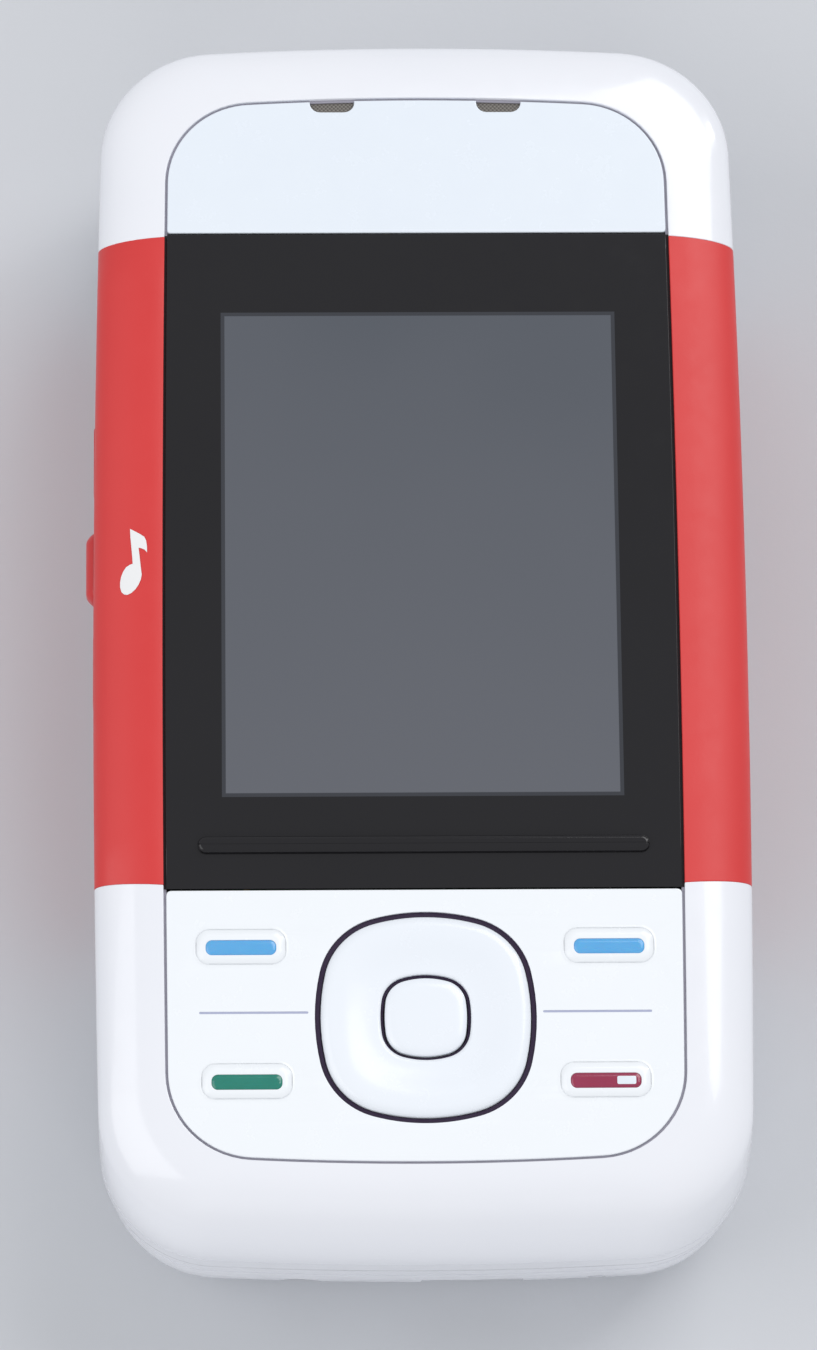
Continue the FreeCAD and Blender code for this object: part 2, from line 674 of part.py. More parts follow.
def base_keys():
    """Volume and camera keys on the right wall, power key on the top wall."""
    keys, openings, rooms = {}, [], []
    for name, (place, length, stand), face in (
        ("volume_key", VOLUME_KEY, BASE.values[0]),
        ("camera_key", CAMERA_KEY, BASE.values[0]),
        ("power_key", POWER_KEY, BASE.values[1]),
    ):
        y = -place if name == "power_key" else place
        key = side_key(face, y, length, BASE_KEY_Z, SIDE_KEY_H, 0, stand)
        key = key.fuse(side_flange(face, y, length, BASE_KEY_Z, SIDE_KEY_H))
        opening = side_key(face, y, length, BASE_KEY_Z, SIDE_KEY_H, SIDE_KEY_FIT, 2)
        foot = face - SIDE_KEY_T - KEY_LIP_T
        reach = length / 2 + KEY_LIP + SIDE_KEY_FIT
        room = box(foot - 2 * KEY_TRAVEL, face, y - reach, y + reach, 0, BASE_T)
        if name == "power_key":
            key, opening, room = [turned_to_end(shape) for shape in (key, opening, room)]
        rooms.append(room)
        keys[name] = key
        openings.append(opening)
    return keys, openings, rooms


def screws(places, head_z, inwards, length):
    """Screws whose heads face away from inwards, the direction along Z that they are driven."""
    made, clear, bosses = [], [], []
    for x, y in places:
        head_end = head_z + inwards * SCREW_HEAD_T
        tip = head_z + inwards * length
        low, high = sorted((head_z, head_end))
        head = cylinder(x, y, low, high, SCREW_HEAD_R)
        low, high = sorted((head_end, tip))
        made.append(head.fuse(cylinder(x, y, low, high, SCREW_R)))
        low, high = sorted((head_z - inwards * 3, head_end))
        sink = cylinder(x, y, low, high, SCREW_HEAD_R + SCREW_FIT)
        low, high = sorted((head_end, tip + inwards * SCREW_FIT))
        clear.append(sink.fuse(cylinder(x, y, low, high, SCREW_R + SCREW_FIT)))
        bosses.append((x, y, SCREW_R + SCREW_FIT + BOSS_WALL))
    return made, clear, bosses


def slide_covers(music_openings, bands):
    """Front and rear covers of the slide, with the bands let into their side walls."""
    outer, inner, band_bed = slide_form(0), slide_form(SLIDE_WALL), slide_form(BAND_T)
    shell = outer.cut(inner)
    band_shell = outer.cut(band_bed)
    band_pieces = []
    for zone, openings in zip(bands, ([], music_openings)):
        piece = band_shell.common(zone)
        for opening in openings:
            piece = piece.cut(opening)
        band_pieces.append(piece)
    for zone in bands:
        shell = shell.cut(band_shell.common(zone))
    front = shell.common(slab(-FAR, FAR, JOIN_Z, FAR)).cut(OPENING.prism(SLIDE_BACK, FRONT + 1))
    ledge = OPENING.offset(LEDGE_REACH).prism(PANEL_BACK - LEDGE_T, PANEL_BACK)
    front = front.fuse(ledge.common(band_bed)).cut(FACE.offset(-LEDGE_REACH).prism(JOIN_Z, FRONT))
    made, clear, bosses = screws(SLIDE_SCREWS, SLIDE_BACK, 1, SLIDE_SCREW_L)
    for x, y, radius in bosses:
        post = cylinder(x, y, JOIN_Z, FRONT - SLIDE_WALL / 2, radius).cut(FACE.prism(JOIN_Z, FRONT))
        front = front.fuse(post.common(band_bed))
    rear = shell.common(slab(-FAR, FAR, -FAR, JOIN_Z))
    half_w = RAIL_HALF_W + WELL_GAP
    low_y = RAIL_BOTTOM_Y - SLIDE_TRAVEL - WELL_GAP
    high_y = RAIL_TOP_Y + WELL_GAP
    rear = rear.fuse(box(-half_w - 1, half_w + 1, low_y - 1, high_y + 1, SLIDE_BACK, WELL_ROOF_TOP))
    for x, y, radius in bosses:
        rear = rear.fuse(cylinder(x, y, SLIDE_BACK, JOIN_Z, radius + SCREW_HEAD_R - SCREW_R).common(outer))
    for x in (-BOARD_POST_X, BOARD_POST_X):
        for y in (-BOARD_POST_Y, BOARD_POST_Y):
            rear = rear.fuse(cylinder(x, y, WELL_ROOF_TOP, BOARD_Z, BOARD_POST_R))
    rear = rear.cut(box(-half_w, half_w, low_y, high_y, SLIDE_BACK - 1, WELL_TOP))
    for hole in clear:
        front, rear = front.cut(hole), rear.cut(hole)
    for opening in music_openings:
        front = front.cut(opening)
    return front, rear, band_pieces, made


def faceplate(key_openings):
    """Earpiece panel, window and key panel: one plate in three pieces, with the thumb bar on the window."""
    plate = FACE.prism(PANEL_BACK, FRONT)
    half = PANEL_GAP / 2
    top_y = FACE_Y + FACE_HALF_L
    earpiece_panel = plate.common(slab(WINDOW_TOP_Y + half, FAR))
    slots = [pad(x, top_y, SLOT_W, 2 * SLOT_H, SLOT_R, PANEL_BACK - 1, FRONT + 1) for x in (-SLOT_X, SLOT_X)]
    for slot in slots:
        earpiece_panel = earpiece_panel.cut(slot)
    window = plate.common(slab(WINDOW_BOTTOM_Y + half, WINDOW_TOP_Y - half))
    bar = pad(0, BAR_Y, 2 * BAR_HALF_L, BAR_W, BAR_W / 2, PANEL_BACK + FACE_T / 2, FRONT + BAR_RISE)
    window = window.fuse(soften(bar, FRONT + BAR_RISE, BAR_EDGE_R))
    panel = plate.common(slab(-FAR, WINDOW_BOTTOM_Y - half))
    for opening in key_openings + [RING.offset(RING_GAP).prism(PANEL_BACK - 1, FRONT + 1)]:
        panel = panel.cut(opening)
    rule_y = RING_Y + RULE_LIFT
    rule = box(RULE_INNER_X, RULE_OUTER_X, rule_y - RULE_W / 2, rule_y + RULE_W / 2,
               FRONT - RULE_DEPTH, FRONT + 1)
    panel = panel.cut(rule).cut(rule.mirror(V(0, 0, 0), V(1, 0, 0)))
    mesh_sheet = FACE.prism(PANEL_BACK + MESH_SINK, FRONT - MESH_SINK)
    return earpiece_panel, window, panel, Part.makeCompound([slot.common(mesh_sheet) for slot in slots])


def slide_inside():
    """Boards, key mat, display in its metal tray, and the earpiece."""
    board_top = BOARD_Z + BOARD_T
    board = pad(0, 0, 2 * SLIDE_BOARD_HALF_W, 2 * SLIDE_BOARD_HALF_L, SLIDE_BOARD_R, BOARD_Z, board_top)
    low_y, high_y = FACE_Y - FACE_HALF_L + KEY_BOARD_END_GAP, WINDOW_BOTTOM_Y - KEY_BOARD_TOP_GAP
    mid_y, length = (low_y + high_y) / 2, high_y - low_y
    key_board_z = KEY_BOARD_TOP - KEY_BOARD_T
    key_board = pad(0, mid_y, 2 * DISPLAY_HALF_W, length, KEY_BOARD_R, key_board_z, KEY_BOARD_TOP)
    dome_places = [(-SOFT_X, SOFT_Y), (SOFT_X, SOFT_Y), (-CALL_X, CALL_Y), (CALL_X, CALL_Y), (0, RING_Y)]
    dome_places += [(-RING_DOME_REACH, RING_Y), (RING_DOME_REACH, RING_Y)]
    dome_places += [(0, RING_Y - RING_DOME_REACH), (0, RING_Y + RING_DOME_REACH)]
    raised = [dome(x, y, KEY_BOARD_TOP) for x, y in dome_places]
    for x in (-KEY_POST_X, KEY_POST_X):
        for y in (mid_y - KEY_POST_REACH, mid_y + KEY_POST_REACH):
            raised.append(cylinder(x, y, board_top, key_board_z, KEY_POST_R))
    strip_x = -BODY_HALF_W + SIDE_KEY_T + KEY_LIP_T + KEY_TRAVEL + STRIP_FIT
    strip_end = strip_x + KEY_BOARD_T
    z = SLIDE_BACK + MUSIC_KEY_Z
    strip = box(strip_x, strip_end, PLAY_KEY_Y - STRIP_HALF_L, PLAY_KEY_Y + STRIP_HALF_L,
                z - STRIP_HALF_H, z + STRIP_HALF_H)
    tab = box(strip_end, -SLIDE_BOARD_HALF_W, PLAY_KEY_Y - TAB_HALF_L, PLAY_KEY_Y + TAB_HALF_L,
              BOARD_Z, board_top)
    boards = Part.makeCompound([board, key_board, strip.fuse(tab)] + raised)
    mat = pad(0, mid_y, 2 * DISPLAY_HALF_W, length, KEY_BOARD_R, MAT_TOP - MAT_T, MAT_TOP)
    display_y, display_l = (DISPLAY_TOP_Y + DISPLAY_BOTTOM_Y) / 2, DISPLAY_TOP_Y - DISPLAY_BOTTOM_Y
    room_w, room_l = 2 * (DISPLAY_HALF_W + DISPLAY_GAP), display_l + 2 * DISPLAY_GAP
    display_z = board_top + TRAY_T
    tray_w, tray_l = room_w + 2 * TRAY_T, room_l + 2 * TRAY_T
    tray = pad(0, display_y, tray_w, tray_l, TRAY_R, board_top, PANEL_BACK - TRAY_AIR)
    tray = tray.cut(box(-room_w / 2, room_w / 2, display_y - room_l / 2, display_y + room_l / 2,
                        display_z, FRONT))
    display = box(-DISPLAY_HALF_W, DISPLAY_HALF_W, DISPLAY_BOTTOM_Y, DISPLAY_TOP_Y,
                  display_z, PANEL_BACK - DISPLAY_AIR)
    earpiece_y = FACE_Y + FACE_HALF_L - LEDGE_REACH - EARPIECE_H / 2 - EARPIECE_GAP
    earpiece = pad(0, earpiece_y, EARPIECE_W, EARPIECE_H, EARPIECE_R, PANEL_BACK - EARPIECE_T, PANEL_BACK)
    return boards, mat, tray, display, earpiece


def slider():
    """Rail plate with its two folded rails, the carrier that runs in them, springs and flex."""
    floor_z = BASE_T - RAIL_SHEET
    mid_y, length = (RAIL_TOP_Y + RAIL_BOTTOM_Y) / 2, RAIL_TOP_Y - RAIL_BOTTOM_Y
    plate = pad(0, mid_y, 2 * RAIL_HALF_W, length, RAIL_CORNER_R, floor_z, BASE_T)
    lip_z = CARRIER_BACK + RAIL_SHEET + RUN_GAP
    lip_top = lip_z + RAIL_LIP_T
    for side in (1, -1):
        outer, inner = side * RAIL_HALF_W, side * (RAIL_HALF_W - RAIL_SHEET)
        lip = side * (RAIL_HALF_W - RAIL_LIP_W)
        for reach, low in ((inner, BASE_T), (lip, lip_z)):
            low_x, high_x = sorted((outer, reach))
            plate = plate.fuse(box(low_x, high_x, RAIL_BOTTOM_Y, RAIL_TOP_Y, low, lip_top))
    edge = RAIL_HALF_W - RAIL_SHEET - RUN_GAP
    carrier = box(-edge, edge, CARRIER_BOTTOM_Y, CARRIER_TOP_Y, CARRIER_BACK, CARRIER_BACK + RAIL_SHEET)
    web, hollow = CARRIER_WEB_HALF_W, CARRIER_WEB_HALF_W - RAIL_SHEET
    carrier = carrier.fuse(box(-web, web, CARRIER_BOTTOM_Y, CARRIER_TOP_Y, CARRIER_BACK, WELL_TOP))
    carrier = carrier.cut(box(-hollow, hollow, CARRIER_BOTTOM_Y - 1, CARRIER_TOP_Y + 1,
                              CARRIER_BACK - 1, WELL_TOP - RAIL_SHEET))
    slot_half_w = FLEX_HALF_W + FLEX_SIDE_GAP
    slot = box(-slot_half_w, slot_half_w, FLEX_TOP_Y - FLEX_END_GAP, FLEX_TOP_Y + FLEX_END_GAP, 0, PANEL_BACK)
    springs = []
    wire_r = SPRING_WIRE / 2
    spring_z = BASE_T + SPRING_GAP + wire_r
    for side in (1, -1):
        x = side * SPRING_X
        coil = Part.makeTorus(SPRING_R, wire_r, V(x, 0, spring_z), V(0, 0, 1))
        leg_up = Part.makeCylinder(wire_r, SPRING_LEG, V(x - side * SPRING_R, 0, spring_z), V(0, 1, 0))
        leg_down = Part.makeCylinder(wire_r, SPRING_LEG, V(x + side * SPRING_R, 0, spring_z), V(0, -1, 0))
        springs.append(coil.fuse([leg_up, leg_down]))
    return plate.cut(slot), carrier.cut(slot), Part.makeCompound(springs), slide_flex(), slot


def slide_flex():
    """The flat flex from the main board to the slide's board: two runs, a bend and two tails."""
    low, high = BASE_T + SPRING_GAP, WELL_TOP - RAIL_SHEET - SPRING_GAP
    runs = box(-FLEX_HALF_W, FLEX_HALF_W, FLEX_BEND_Y, FLEX_TOP_Y, low, low + FLEX_T)
    runs = runs.fuse(box(-FLEX_HALF_W, FLEX_HALF_W, FLEX_BEND_Y, FLEX_TOP_Y, high - FLEX_T, high))
    bend_r = (high - low) / 2
    bend_axis = V(-FLEX_HALF_W, FLEX_BEND_Y, low + bend_r)
    bend = Part.makeCylinder(bend_r, 2 * FLEX_HALF_W, bend_axis, V(1, 0, 0))
    bend = bend.cut(Part.makeCylinder(bend_r - FLEX_T, 2 * FLEX_HALF_W, bend_axis, V(1, 0, 0)))
    flex = runs.fuse(bend.common(slab(-FAR, FLEX_BEND_Y)))
    tail_y = FLEX_TOP_Y - FLEX_TAIL
    down = box(-FLEX_HALF_W, FLEX_HALF_W, tail_y, tail_y + FLEX_T, MAIN_BOARD_TOP, low + FLEX_T)
    up = box(-FLEX_HALF_W, FLEX_HALF_W, tail_y, tail_y + FLEX_T, high - FLEX_T, BOARD_Z)
    return flex.fuse([down, up])


def number_keys():
    """Twelve number keys in three columns and four rows, under openings in the base's front cover."""
    keys, openings, domes = {}, [], []
    lip_z = PLATE_BACK - KEY_LIP_T - NUMBER_LIP_FIT
    foot_z = lip_z - NUMBER_LIP_T
    names = ["1", "2", "3", "4", "5", "6", "7", "8", "9", "star", "0", "hash"]
    for place, name in enumerate(names):
        row, column = divmod(place, 3)
        x, y = (column - 1) * NUMBER_PITCH_X, NUMBER_TOP_Y - row * NUMBER_PITCH_Y
        top = BASE_T - NUMBER_SINK
        key = soften(pad(x, y, NUMBER_W, NUMBER_H, NUMBER_R, foot_z, top), top, NUMBER_EDGE_R)
        lip = pad(x, y, NUMBER_W + 2 * NUMBER_LIP, NUMBER_H + 2 * NUMBER_LIP, NUMBER_R, foot_z, lip_z)
        keys["number_key_" + name] = key.fuse(lip)
        openings.append(pad(x, y, NUMBER_W + 2 * KEY_FIT, NUMBER_H + 2 * KEY_FIT, NUMBER_R + KEY_FIT,
                            PLATE_BACK - 1, BASE_T + 1))
        domes.append(dome(x, y, MAIN_BOARD_TOP))
    return keys, openings, domes, foot_z


def base_inside(domes, foot_z):
    """Main board with its domes and contacts, number key mat, shield cans, camera, speaker and sockets."""
    board = BASE.offset(-MAIN_BOARD_INSET).prism(DECK_TOP, MAIN_BOARD_TOP)
    for x, y in BASE_SCREWS:
        board = board.cut(cylinder(x, y, 0, BASE_T, SCREW_R + SCREW_FIT + BOSS_WALL + BOARD_FIT))
    contacts_y = BATTERY_Y + BATTERY_L / 2 + BATTERY_GAP
    board = board.fuse(box(-CONTACT_HALF_W, CONTACT_HALF_W, contacts_y, contacts_y + CONTACT_L,
                           DECK_TOP - CONTACT_DROP, DECK_TOP))
    holder_z = DECK_TOP - DECK_T
    card_holder = pad(CARD_X, contacts_y + CARD_Y, CARD_W, CARD_L, CARD_R, holder_z - CARD_T, holder_z)
    microphone = cylinder(MIC_X, -BASE.values[1] + MIC_SET_IN, DECK_TOP - MIC_BODY_T, DECK_TOP, MIC_BODY_R)
    low_y = NUMBER_TOP_Y - 3.5 * NUMBER_PITCH_Y
    high_y = NUMBER_TOP_Y + 0.5 * NUMBER_PITCH_Y
    mat = pad(0, (low_y + high_y) / 2, 3 * NUMBER_PITCH_X, high_y - low_y, NUMBER_MAT_R,
              MAIN_BOARD_TOP + DOME_T, foot_z - KEY_TRAVEL - MAT_GAP)
    camera_z = DECK_TOP - CAMERA_T
    camera = pad(0, CAMERA_Y, CAMERA_SIZE, CAMERA_SIZE, CAMERA_R, camera_z, DECK_TOP)
    camera = camera.fuse(cylinder(0, CAMERA_Y, LENS_BACK, camera_z, LENS_R))
    speaker = pad(SPEAKER_X, SPEAKER_Y, SPEAKER_W, SPEAKER_L, SPEAKER_R, DECK_TOP - SPEAKER_T, DECK_TOP)
    socket_y = BASE.values[1] - BASE_WALL - SOCKET_GAP
    headset = socket(HEADSET_X, HEADSET_R, socket_y, 1)
    charger = socket(CHARGER_X, CHARGER_R, socket_y, -1)
    on_board = [card_holder, microphone] + domes
    return board, on_board, mat, camera, speaker, headset, charger, usb_socket(-socket_y)


def shield_cans():
    """Three pressed metal cans over the radio and logic parts of the main board."""
    upper_y = CAN_MID_Y + CAN_SPACE
    cans = []
    for x0, x1, y0, y1 in (
        (-CAN_HALF_W, -CAN_INNER_X, CAN_LOW_Y, CAN_MID_Y),
        (CAN_INNER_X, CAN_HALF_W, CAN_LOW_Y, CAN_MID_Y),
        (-CAN_HALF_W, CAN_HALF_W, upper_y, CAN_TOP_Y),
    ):
        top = PLATE_BACK - CAN_AIR
        can = box(x0, x1, y0, y1, MAIN_BOARD_TOP, top)
        cans.append(can.cut(box(x0 + CAN_WALL, x1 - CAN_WALL, y0 + CAN_WALL, y1 - CAN_WALL,
                                MAIN_BOARD_TOP - 1, top - CAN_WALL)))
    return Part.makeCompound(cans)


def socket(x, radius, body_y, side):
    """A round jack socket that hangs from the main board, its collar reaching out through an end wall."""
    reach = radius + SOCKET_WALL
    mouth_y = BASE.values[1] - MOUTH_SET_IN
    body = box(x - reach, x + reach, body_y - SOCKET_L, body_y, SOCKET_Z - reach, DECK_TOP)
    body = body.fuse(end_drill(x, body_y - 1, SOCKET_Z, radius + COLLAR_WALL, mouth_y - body_y + 1))
    body = body.cut(end_drill(x, body_y - SOCKET_L + SOCKET_END_WALL, SOCKET_Z, radius, SOCKET_L + WALL_CUT))
    return body if side > 0 else body.mirror(V(0, 0, 0), V(0, 1, 0))


def usb_socket(mouth_y):
    """The flat data socket: a metal shell round a tongue."""
    half_w, half_h = USB_W / 2, USB_H / 2
    far_y = mouth_y + SOCKET_L
    shell = pad(USB_X, mouth_y + SOCKET_L / 2, USB_W + 2 * USB_WALL, SOCKET_L, USB_WALL,
                SOCKET_Z - half_h - USB_WALL, DECK_TOP)
    shell = shell.cut(box(USB_X - half_w, USB_X + half_w, mouth_y - 1, far_y - USB_END_WALL,
                          SOCKET_Z - half_h, SOCKET_Z + half_h))
    tongue = box(USB_X - half_w + USB_TONGUE_INSET, USB_X + half_w - USB_TONGUE_INSET,
                 mouth_y + USB_TONGUE_SET_IN, far_y - USB_END_WALL / 2,
                 SOCKET_Z - USB_TONGUE_HALF_T, SOCKET_Z + USB_TONGUE_HALF_T)
    return shell.fuse(tongue)


def end_openings():
    """Cuts through the end walls for the three sockets and the microphone."""
    wall_y = BASE.values[1] - WALL_CUT
    collar = COLLAR_WALL + COLLAR_FIT
    headset = end_drill(HEADSET_X, wall_y, SOCKET_Z, HEADSET_R + collar, 2 * WALL_CUT)
    charger = end_drill(CHARGER_X, -wall_y, SOCKET_Z, CHARGER_R + collar, 2 * WALL_CUT)
    microphone = end_drill(MIC_X, -wall_y, SOCKET_Z + MIC_LIFT, MIC_R, 2 * WALL_CUT)
    half_w, half_h = USB_W / 2 + USB_HOLE_FIT, USB_H / 2 + USB_HOLE_FIT
    usb = box(USB_X - half_w, USB_X + half_w, -wall_y - 2 * WALL_CUT, -wall_y,
              SOCKET_Z - half_h, SOCKET_Z + half_h)
    return [headset, charger, microphone, usb]


def seam_groove(z):
    """The fine groove round the base where two of its shells meet."""
    return base_form(0).cut(base_form(SEAM_DEPTH)).common(slab(-FAR, FAR, z - SEAM_W / 2, z + SEAM_W / 2))


def finger_grip(cover):
    """The battery cover with a shallow ribbed hollow for the thumb that slides it off."""
    y = COVER_SPLIT_Y - GRIP_TOP_MARGIN
    cover = cover.cut(pad(0, y, GRIP_W, GRIP_L, GRIP_R, -1, GRIP_DEPTH))
    for place in range(GRIP_RIBS):
        rib_y = y + (place - (GRIP_RIBS - 1) / 2) * GRIP_RIB_PITCH
        rib = box(-GRIP_RIB_L / 2, GRIP_RIB_L / 2, rib_y - GRIP_RIB_W / 2, rib_y + GRIP_RIB_W / 2,
                  GRIP_DEPTH - GRIP_RIB_T, GRIP_DEPTH + GRIP_RIB_T)
        cover = cover.fuse(rib)
    return cover.removeSplitter()


def back_covers(shell):
    """Camera cover with its lens window and speaker grille, and the battery cover below it."""
    back = shell.common(slab(-FAR, FAR, -1, COVER_RIM))
    camera_cover = back.common(slab(COVER_SPLIT_Y, FAR))
    battery_cover = back.common(slab(-FAR, COVER_SPLIT_Y - COVER_SEAM))
    window_top = CAMERA_WINDOW_SINK + CAMERA_WINDOW_T
    recess = cylinder(0, CAMERA_Y, -1, window_top, CAMERA_WINDOW_R + CAMERA_WINDOW_FIT)
    camera_cover = camera_cover.cut(recess).cut(cylinder(0, CAMERA_Y, -1, BASE_WALL + 1, CAMERA_HOLE_R))
    bevel_r = CAMERA_WINDOW_R + CAMERA_WINDOW_FIT
    bevel = Part.makeCone(bevel_r + LENS_BEVEL, bevel_r, LENS_BEVEL_RISE, V(0, CAMERA_Y, 0))
    camera_cover = camera_cover.cut(bevel)
    for place in range(GRILLE_SLOTS):
        x = SPEAKER_X + (place - (GRILLE_SLOTS - 1) / 2) * GRILLE_PITCH
        slot = pad(x, SPEAKER_Y, GRILLE_SLOT_W, GRILLE_SLOT_L, GRILLE_SLOT_R, -1, BASE_WALL + 1)
        camera_cover = camera_cover.cut(slot)
    window = cylinder(0, CAMERA_Y, CAMERA_WINDOW_SINK, window_top, CAMERA_WINDOW_R)
    return camera_cover, finger_grip(battery_cover), window


def base_shells(number_openings, key_openings, key_rooms, flex_slot, bands):
    """Front cover, middle frame with its deck, and bands of the base, with its screws."""
    outer, inner, band_bed = base_form(0), base_form(BASE_WALL), base_form(BAND_T)
    for z in (COVER_RIM, BASE_RIM_Z):
        outer = outer.cut(seam_groove(z))
    shell, band_shell = outer.cut(inner), outer.cut(band_bed)
    band_pieces = [band_shell.common(zone) for zone in bands]
    ring = shell.common(slab(-FAR, FAR, COVER_RIM, BASE_RIM_Z))
    for piece in band_pieces:
        ring = ring.cut(piece)
    made, clear, bosses = screws(BASE_SCREWS, BASE_T, -1, BASE_SCREW_L)
    deck = inner.common(slab(DECK_BOTTOM_Y, COVER_SPLIT_Y, DECK_TOP - DECK_T, DECK_TOP))
    contacts_y = BATTERY_Y + BATTERY_L / 2 + BATTERY_GAP
    contact_half_w = CONTACT_HALF_W + CONTACT_FIT
    deck = deck.cut(box(-contact_half_w, contact_half_w, contacts_y - CONTACT_FIT,
                        contacts_y + CONTACT_L + CONTACT_FIT, 0, BASE_T))
    for room in key_rooms:
        deck = deck.cut(room)
    ring = ring.fuse(deck)
    for x, y, radius in bosses:
        post = cylinder(x, y, COVER_RIM + BASE_POST_FOOT, BASE_RIM_Z, radius)
        ring = ring.fuse(post.common(band_bed))
    front = outer.common(slab(-FAR, FAR, BASE_RIM_Z, BASE_T))
    front = front.cut(inner.common(slab(-FAR, FAR, BASE_RIM_Z - 1, PLATE_BACK)))
    mid_y, length = (RAIL_TOP_Y + RAIL_BOTTOM_Y) / 2, RAIL_TOP_Y - RAIL_BOTTOM_Y
    front = front.cut(pad(0, mid_y, 2 * RAIL_HALF_W + RAIL_FIT, length + RAIL_FIT, RAIL_CORNER_R,
                          BASE_T - RAIL_SHEET, BASE_T + 1))
    for opening in number_openings:
        front = front.cut(opening)
    for hole in end_openings() + key_openings:
        ring = ring.cut(hole)
        band_pieces = [piece.cut(hole) for piece in band_pieces]
    for hole in clear:
        ring, front = ring.cut(hole), front.cut(hole)
    return shell, front.cut(flex_slot), ring, band_pieces, made, clear


def build():
    os.makedirs("parts", exist_ok=True)
    music, music_openings = music_keys()
    pads, pad_openings = function_keys()
    slide_bands = band_zone(SLIDE_BACK + BAND_FOOT, FRONT + 1)
    front, rear, slide_band_pieces, slide_screws = slide_covers(music_openings, slide_bands)
    plate, carrier, springs, flex, flex_slot = slider()
    save("slide_front_cover", front)
    save("slide_rear_cover", rear.cut(flex_slot))
    save("slide_band_right", slide_band_pieces[0])
    save("slide_band_left", slide_band_pieces[1])
    save("slide_screws", Part.makeCompound(slide_screws))
    earpiece_panel, window, panel, mesh = faceplate(pad_openings)
    save("earpiece_panel", earpiece_panel)
    save("display_window", window)
    save("key_panel", panel)
    save("earpiece_mesh", mesh)
    boards, mat, tray, display, earpiece = slide_inside()
    save("slide_circuit_board", boards)
    save("function_key_mat", mat)
    save("display_tray", tray)
    save("display_module", display)
    save("earpiece", earpiece)
    ring, select, pivot = scroll_keys()
    save("scroll_ring", ring)
    save("select_key", select)
    save("scroll_ring_pivot", pivot)
    for name, key in {**pads, **music}.items():
        save(name, key)
    save("rail_plate", plate)
    save("carrier_plate", carrier)
    save("rail_springs", springs)
    save("slide_flex", flex)
    numbers, number_openings, domes, foot_z = number_keys()
    for name, key in numbers.items():
        save(name, key)
    side_keys, key_openings, key_rooms = base_keys()
    for name, key in side_keys.items():
        save(name, key)
    base_bands = band_zone(COVER_RIM, BASE_RIM_Z)
    shell, front_cover, middle, band_pieces, base_screws, clear = base_shells(
        number_openings, key_openings, key_rooms, flex_slot, base_bands)
    save("base_front_cover", front_cover)
    save("middle_frame", middle)
    save("base_band_right", band_pieces[0])
    save("base_band_left", band_pieces[1])
    camera_cover, battery_cover, camera_window = back_covers(shell)
    save("camera_cover", camera_cover)
    save("battery_cover", battery_cover)
    save("camera_window", camera_window)
    save("base_screws", Part.makeCompound(base_screws))
    board, soldered, mat, camera, speaker, headset, charger, usb = base_inside(domes, foot_z)
    for hole in clear:
        board = board.cut(hole)
    save("main_circuit_board", Part.makeCompound([board] + soldered))
    save("number_key_mat", mat)
    save("shield_cans", shield_cans())
    save("camera_module", camera)
    save("loudspeaker", speaker)
    save("headset_socket", headset)
    save("charger_socket", charger)
    save("data_socket", usb)
    battery_z = BASE_WALL + BATTERY_GAP
    save("battery", pad(0, BATTERY_Y, BATTERY_W, BATTERY_L, BATTERY_R, battery_z, battery_z + BATTERY_T))


build()
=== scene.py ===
import bpy
import bmesh
import math
from mathutils import Matrix, Vector
from mathutils.geometry import tessellate_polygon


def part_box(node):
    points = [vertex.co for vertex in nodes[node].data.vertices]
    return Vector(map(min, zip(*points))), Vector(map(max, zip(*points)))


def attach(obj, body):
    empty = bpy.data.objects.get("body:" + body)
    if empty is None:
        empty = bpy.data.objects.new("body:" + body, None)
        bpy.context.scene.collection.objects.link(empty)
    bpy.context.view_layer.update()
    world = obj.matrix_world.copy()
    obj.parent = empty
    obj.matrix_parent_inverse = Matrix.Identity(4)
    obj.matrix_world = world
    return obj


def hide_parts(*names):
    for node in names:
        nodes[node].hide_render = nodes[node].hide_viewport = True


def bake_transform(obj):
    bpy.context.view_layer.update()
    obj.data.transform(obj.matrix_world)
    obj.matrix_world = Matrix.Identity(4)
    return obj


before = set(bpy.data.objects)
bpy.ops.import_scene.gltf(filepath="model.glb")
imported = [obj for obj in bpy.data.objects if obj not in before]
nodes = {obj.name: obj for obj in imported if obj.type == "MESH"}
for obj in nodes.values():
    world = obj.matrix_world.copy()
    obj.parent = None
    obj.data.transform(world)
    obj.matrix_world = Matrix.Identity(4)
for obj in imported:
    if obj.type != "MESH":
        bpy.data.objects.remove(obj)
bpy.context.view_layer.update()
MM = 0.001


# ---------------------------------------------------------------- paper under the phone
# A sheet of matt cartridge paper that the phone lies on. It takes a soft contact
# shadow and shows only a faint tooth.
def linear(hex_colour):
    """An sRGB hex colour as linear light, for a shader socket."""
    parts = [int(hex_colour[i:i + 2], 16) / 255 for i in (1, 3, 5)]
    return (*[p / 12.92 if p <= 0.04045 else ((p + 0.055) / 1.055) ** 2.4 for p in parts], 1.0)


def every_mm(size):
    """The scale of a texture whose pattern has this size in millimetres."""
    return 1 / (size * MM)


def add(tree, kind, inputs=None, **settings):
    """Adds a shader node, sets its properties, and sets or links each input named."""
    made = tree.nodes.new(kind)
    for name, value in settings.items():
        setattr(made, name, value)
    for name, value in (inputs or {}).items():
        if isinstance(value, bpy.types.NodeSocket):
            tree.links.new(value, made.inputs[name])
        else:
            made.inputs[name].default_value = value
    return made


def blank(name):
    """A new material, its empty node tree, and the place that each point has on the phone."""
    material = bpy.data.materials.new(name)
    material.use_nodes = True
    tree = material.node_tree
    tree.nodes.clear()
    return material, tree, add(tree, "ShaderNodeTexCoord").outputs["Object"]


def close(tree, shader):
    """Links a shader to the material's output."""
    add(tree, "ShaderNodeOutputMaterial", {"Surface": shader.outputs[0]})


